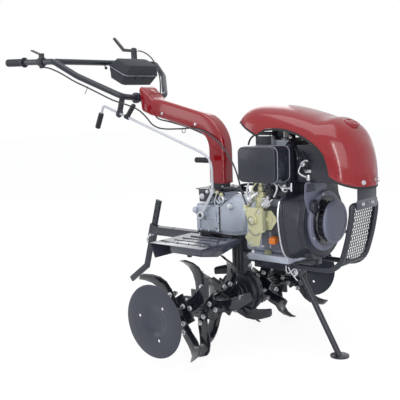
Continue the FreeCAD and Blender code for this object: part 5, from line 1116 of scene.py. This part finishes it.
# ---------------------------------------------------------------- controls
class TILLER_OT_controls(bpy.types.Operator):
    """Levers, shift rod, grips and control cables"""
    bl_idname = "tiller.controls"
    bl_label = "Controls"

    def execute(self, context):
        softened("throttle_lever", "lever_plastic")
        softened("clutch_lever", "lever_plastic", 0.002)
        softened("shift_crank", "drawn_steel", 0.001)
        eye = turned(at(-137, -100, 536), RIGHT,
                     [(8, -2), (17, -2), (18, 0), (18, 4), (16, 6), (8, 6), (8, -2)], 32)
        settle([eye], "shift_crank_eye", "drawn_steel")
        settle([drum(at(-137, -101, 536), RIGHT, 0.009, 0.012)], "selector_nut", "lever_plastic")
        self.rod()
        ferrule = drum(at(-939, 344, 1316.4), (43, -5, -9), 0.0056, 0.014)
        settle([ferrule], "clutch_cable_ferrule", "white_nylon")
        self.cable_tie()
        coat("cable_jacket", "throttle_cable", "clutch_cable")
        return {"FINISHED"}

    def rod(self):
        """Shift rod with its long bend over the gearbox, and its rubber grips."""
        end, top, elbow = places((-742, -140, 926), (-694, -140, 1026), (-68, -97, 792))
        rod = pipe(bent([end, top, elbow, at(-68, -97, 655)], [0.024, 0.125]), 0.006, 5)
        settle([rod], "shift_rod_bent", "drawn_steel", smooth_below=60, instead=("shift_rod",))
        run = (top - elbow).normalized()
        second = elbow + run * ((-545 + 68) / 1000 / run.x)
        grips = [self.rubber_grip(end - (top - end).normalized() * 0.006, top - end, 13, 78),
                 self.rubber_grip(second - run * 0.013, run, 11, 26, 3),
                 self.rubber_grip(second, Vector((0.67, 0, 0.74)), 11, 74),
                 self.rubber_grip(at(-158, -97, 778), AHEAD, 12, 74)]
        settle(grips, "shift_rod_grips", "soft_rubber", smooth_below=40, instead=("shift_grips",))

    def rubber_grip(self, foot, way, radius, long, ribs=9):
        """A ribbed grip from its foot along way; radius and length in millimetres."""
        profile = [(0, 0), (radius - 3, 0), (radius, 3)]
        pitch = (long - 12) / ribs
        for step in range(ribs):
            x = 6 + step * pitch
            profile += [(radius, x), (radius, x + pitch * 0.5), (radius - 1, x + pitch * 0.6),
                        (radius - 1, x + pitch * 0.9)]
        return turned(foot, way, profile + [(radius, long - 4), (radius - 2, long), (0, long)], 28)

    def cable_tie(self):
        radius, steps = 11, 24
        ring = []
        for step in range(steps):
            angle = step * math.tau / steps
            ring.append(at(-273, -42 + radius * math.cos(angle), 903 + radius * math.sin(angle)))
        settle([closed_pipe(ring, 0.0015)], "cable_tie", "soft_rubber")


# ---------------------------------------------------------------- stage
class TILLER_OT_stage(bpy.types.Operator):
    """Floor, lights and camera"""
    bl_idname = "tiller.stage"
    bl_label = "Stage"

    def execute(self, context):
        light = context.scene.tiller_light
        context.scene.view_settings.view_transform = "Standard"
        self.floor(light.floor)
        self.world(light.sky)
        self.area("key", (0.6, -1.0, 3.6), (0, 0, 0.7), 3.2, light.key)
        self.area("fill", (3.6, -2.6, 1.8), (0.1, 0, 0.7), 2.4, light.fill)
        self.area("rear", (-2.6, 2.6, 2.6), (0, 0, 0.8), 2.6, light.fill)
        self.area("rim", (-2.8, -2.4, 1.6), (0, 0, 0.8), 1.8, light.fill * 0.6)
        strip = self.area("strip", (2.75, -2.80, 1.1), (0.3, 0, 0.8), 0.22, light.fill * 0.55)
        strip.shape = "RECTANGLE"
        strip.size_y = 2.4
        self.camera()
        return {"FINISHED"}

    def floor(self, colour):
        size, gap = 40, 0.0005
        fresh()
        bpy.ops.mesh.primitive_plane_add(size=size, location=(0, 0, CAD_BOX[0][2] - gap))
        floor = bpy.context.object
        floor.name = "floor"
        floor.data.materials.append(self.floor_finish(colour))

    def floor_finish(self, colour):
        """Matt white that the camera sees as an even white, with the object's shadow."""
        glow_strength, glow_share = 1.09, 0.82
        made = bpy.data.materials.new("studio_floor")
        made.use_nodes = True
        tree = made.node_tree
        matt = preset(tree.nodes["Principled BSDF"], Base_Color=(*colour, 1), Roughness=0.9)
        glow = new_node(tree, "Emission", Color=(1, 1, 1, 1), Strength=glow_strength)
        ray = new_node(tree, "LightPath")
        share = sum_node(tree, "MULTIPLY", glow_share)
        mix = new_node(tree, "MixShader")
        link(tree, (ray, "Is Camera Ray", share, 0), (share, 0, mix, "Fac"), (matt, "BSDF", mix, 1),
             (glow, "Emission", mix, 2), (mix, "Shader", tree.nodes["Material Output"], "Surface"))
        return made

    def world(self, strength):
        """Even light, white to the camera and half white in polished metal."""
        gloss_share = 0.5
        world = bpy.data.worlds.new("studio")
        bpy.context.scene.world = world
        world.use_nodes = True
        tree = world.node_tree
        even = preset(tree.nodes["Background"], Color=(0.92, 0.95, 1.0, 1), Strength=strength)
        white = new_node(tree, "Background", Color=(1, 1, 1, 1))
        ray = new_node(tree, "LightPath")
        mix = new_node(tree, "MixShader")
        gloss = sum_node(tree, "MULTIPLY", gloss_share)
        seen = sum_node(tree, "MAXIMUM", 0)
        link(tree, (ray, "Is Glossy Ray", gloss, 0), (ray, "Is Camera Ray", seen, 0), (gloss, 0, seen, 1),
             (seen, 0, mix, "Fac"), (even, "Background", mix, 1), (white, "Background", mix, 2),
             (mix, "Shader", tree.nodes["World Output"], "Surface"))

    def area(self, name, place, target, size, power):
        """A square lamp at a place that looks at a target."""
        lamp = bpy.data.lights.new(name, "AREA")
        lamp.size = size
        lamp.energy = power
        holder = shown(name, lamp)
        holder.location = place
        holder.rotation_euler = (Vector(target) - Vector(place)).to_track_quat("-Z", "Y").to_euler()
        return lamp

    def camera(self):
        """A camera ahead of the machine and to its right, that looks back and slightly down."""
        heading, pitch, roll = (math.radians(angle) for angle in (41.35, 90 - 7.67, -2.02))
        lens = bpy.data.cameras.new("camera")
        lens.sensor_width = 36
        lens.lens = 64.57
        camera = shown("camera", lens)
        place = Matrix.Translation(at(1913.3, -2432.1, 1021.4))
        turn = (Matrix.Rotation(heading, 4, "Z") @ Matrix.Rotation(pitch, 4, "X")
                @ Matrix.Rotation(roll, 4, "Z"))
        camera.matrix_world = place @ turn
        bpy.context.scene.camera = camera


STEPS = (TILLER_OT_rotor, TILLER_OT_drive, TILLER_OT_engine, TILLER_OT_hood, TILLER_OT_frame,
         TILLER_OT_column, TILLER_OT_handlebar, TILLER_OT_toolbox, TILLER_OT_controls, TILLER_OT_stage)


class TILLER_PT_panel(bpy.types.Panel):
    """Lists the tiller's pieces"""
    bl_label = "Rotary tiller"
    bl_idname = "TILLER_PT_panel"
    bl_space_type = "VIEW_3D"
    bl_region_type = "UI"
    bl_category = "Tiller"

    def draw(self, context):
        for name in ("edge", "bead", "grip_ribs", "cup_ribs"):
            self.layout.prop(context.scene.tiller_details, name)
        for name in ("floor", "key", "fill", "sky"):
            self.layout.prop(context.scene.tiller_light, name)
        for step in STEPS:
            self.layout.operator(step.bl_idname)


CLASSES = (TillerDetails, TillerLight) + STEPS + (TILLER_PT_panel,)


def register():
    for kind in CLASSES:
        bpy.utils.register_class(kind)
    bpy.types.Scene.tiller_details = bpy.props.PointerProperty(type=TillerDetails)
    bpy.types.Scene.tiller_light = bpy.props.PointerProperty(type=TillerLight)


def unregister():
    del bpy.types.Scene.tiller_light
    del bpy.types.Scene.tiller_details
    for kind in reversed(CLASSES):
        bpy.utils.unregister_class(kind)


def main():
    register()
    for step in STEPS:
        group, name = step.bl_idname.split(".")
        getattr(getattr(bpy.ops, group), name)()


if __name__ == "__main__":
    main()
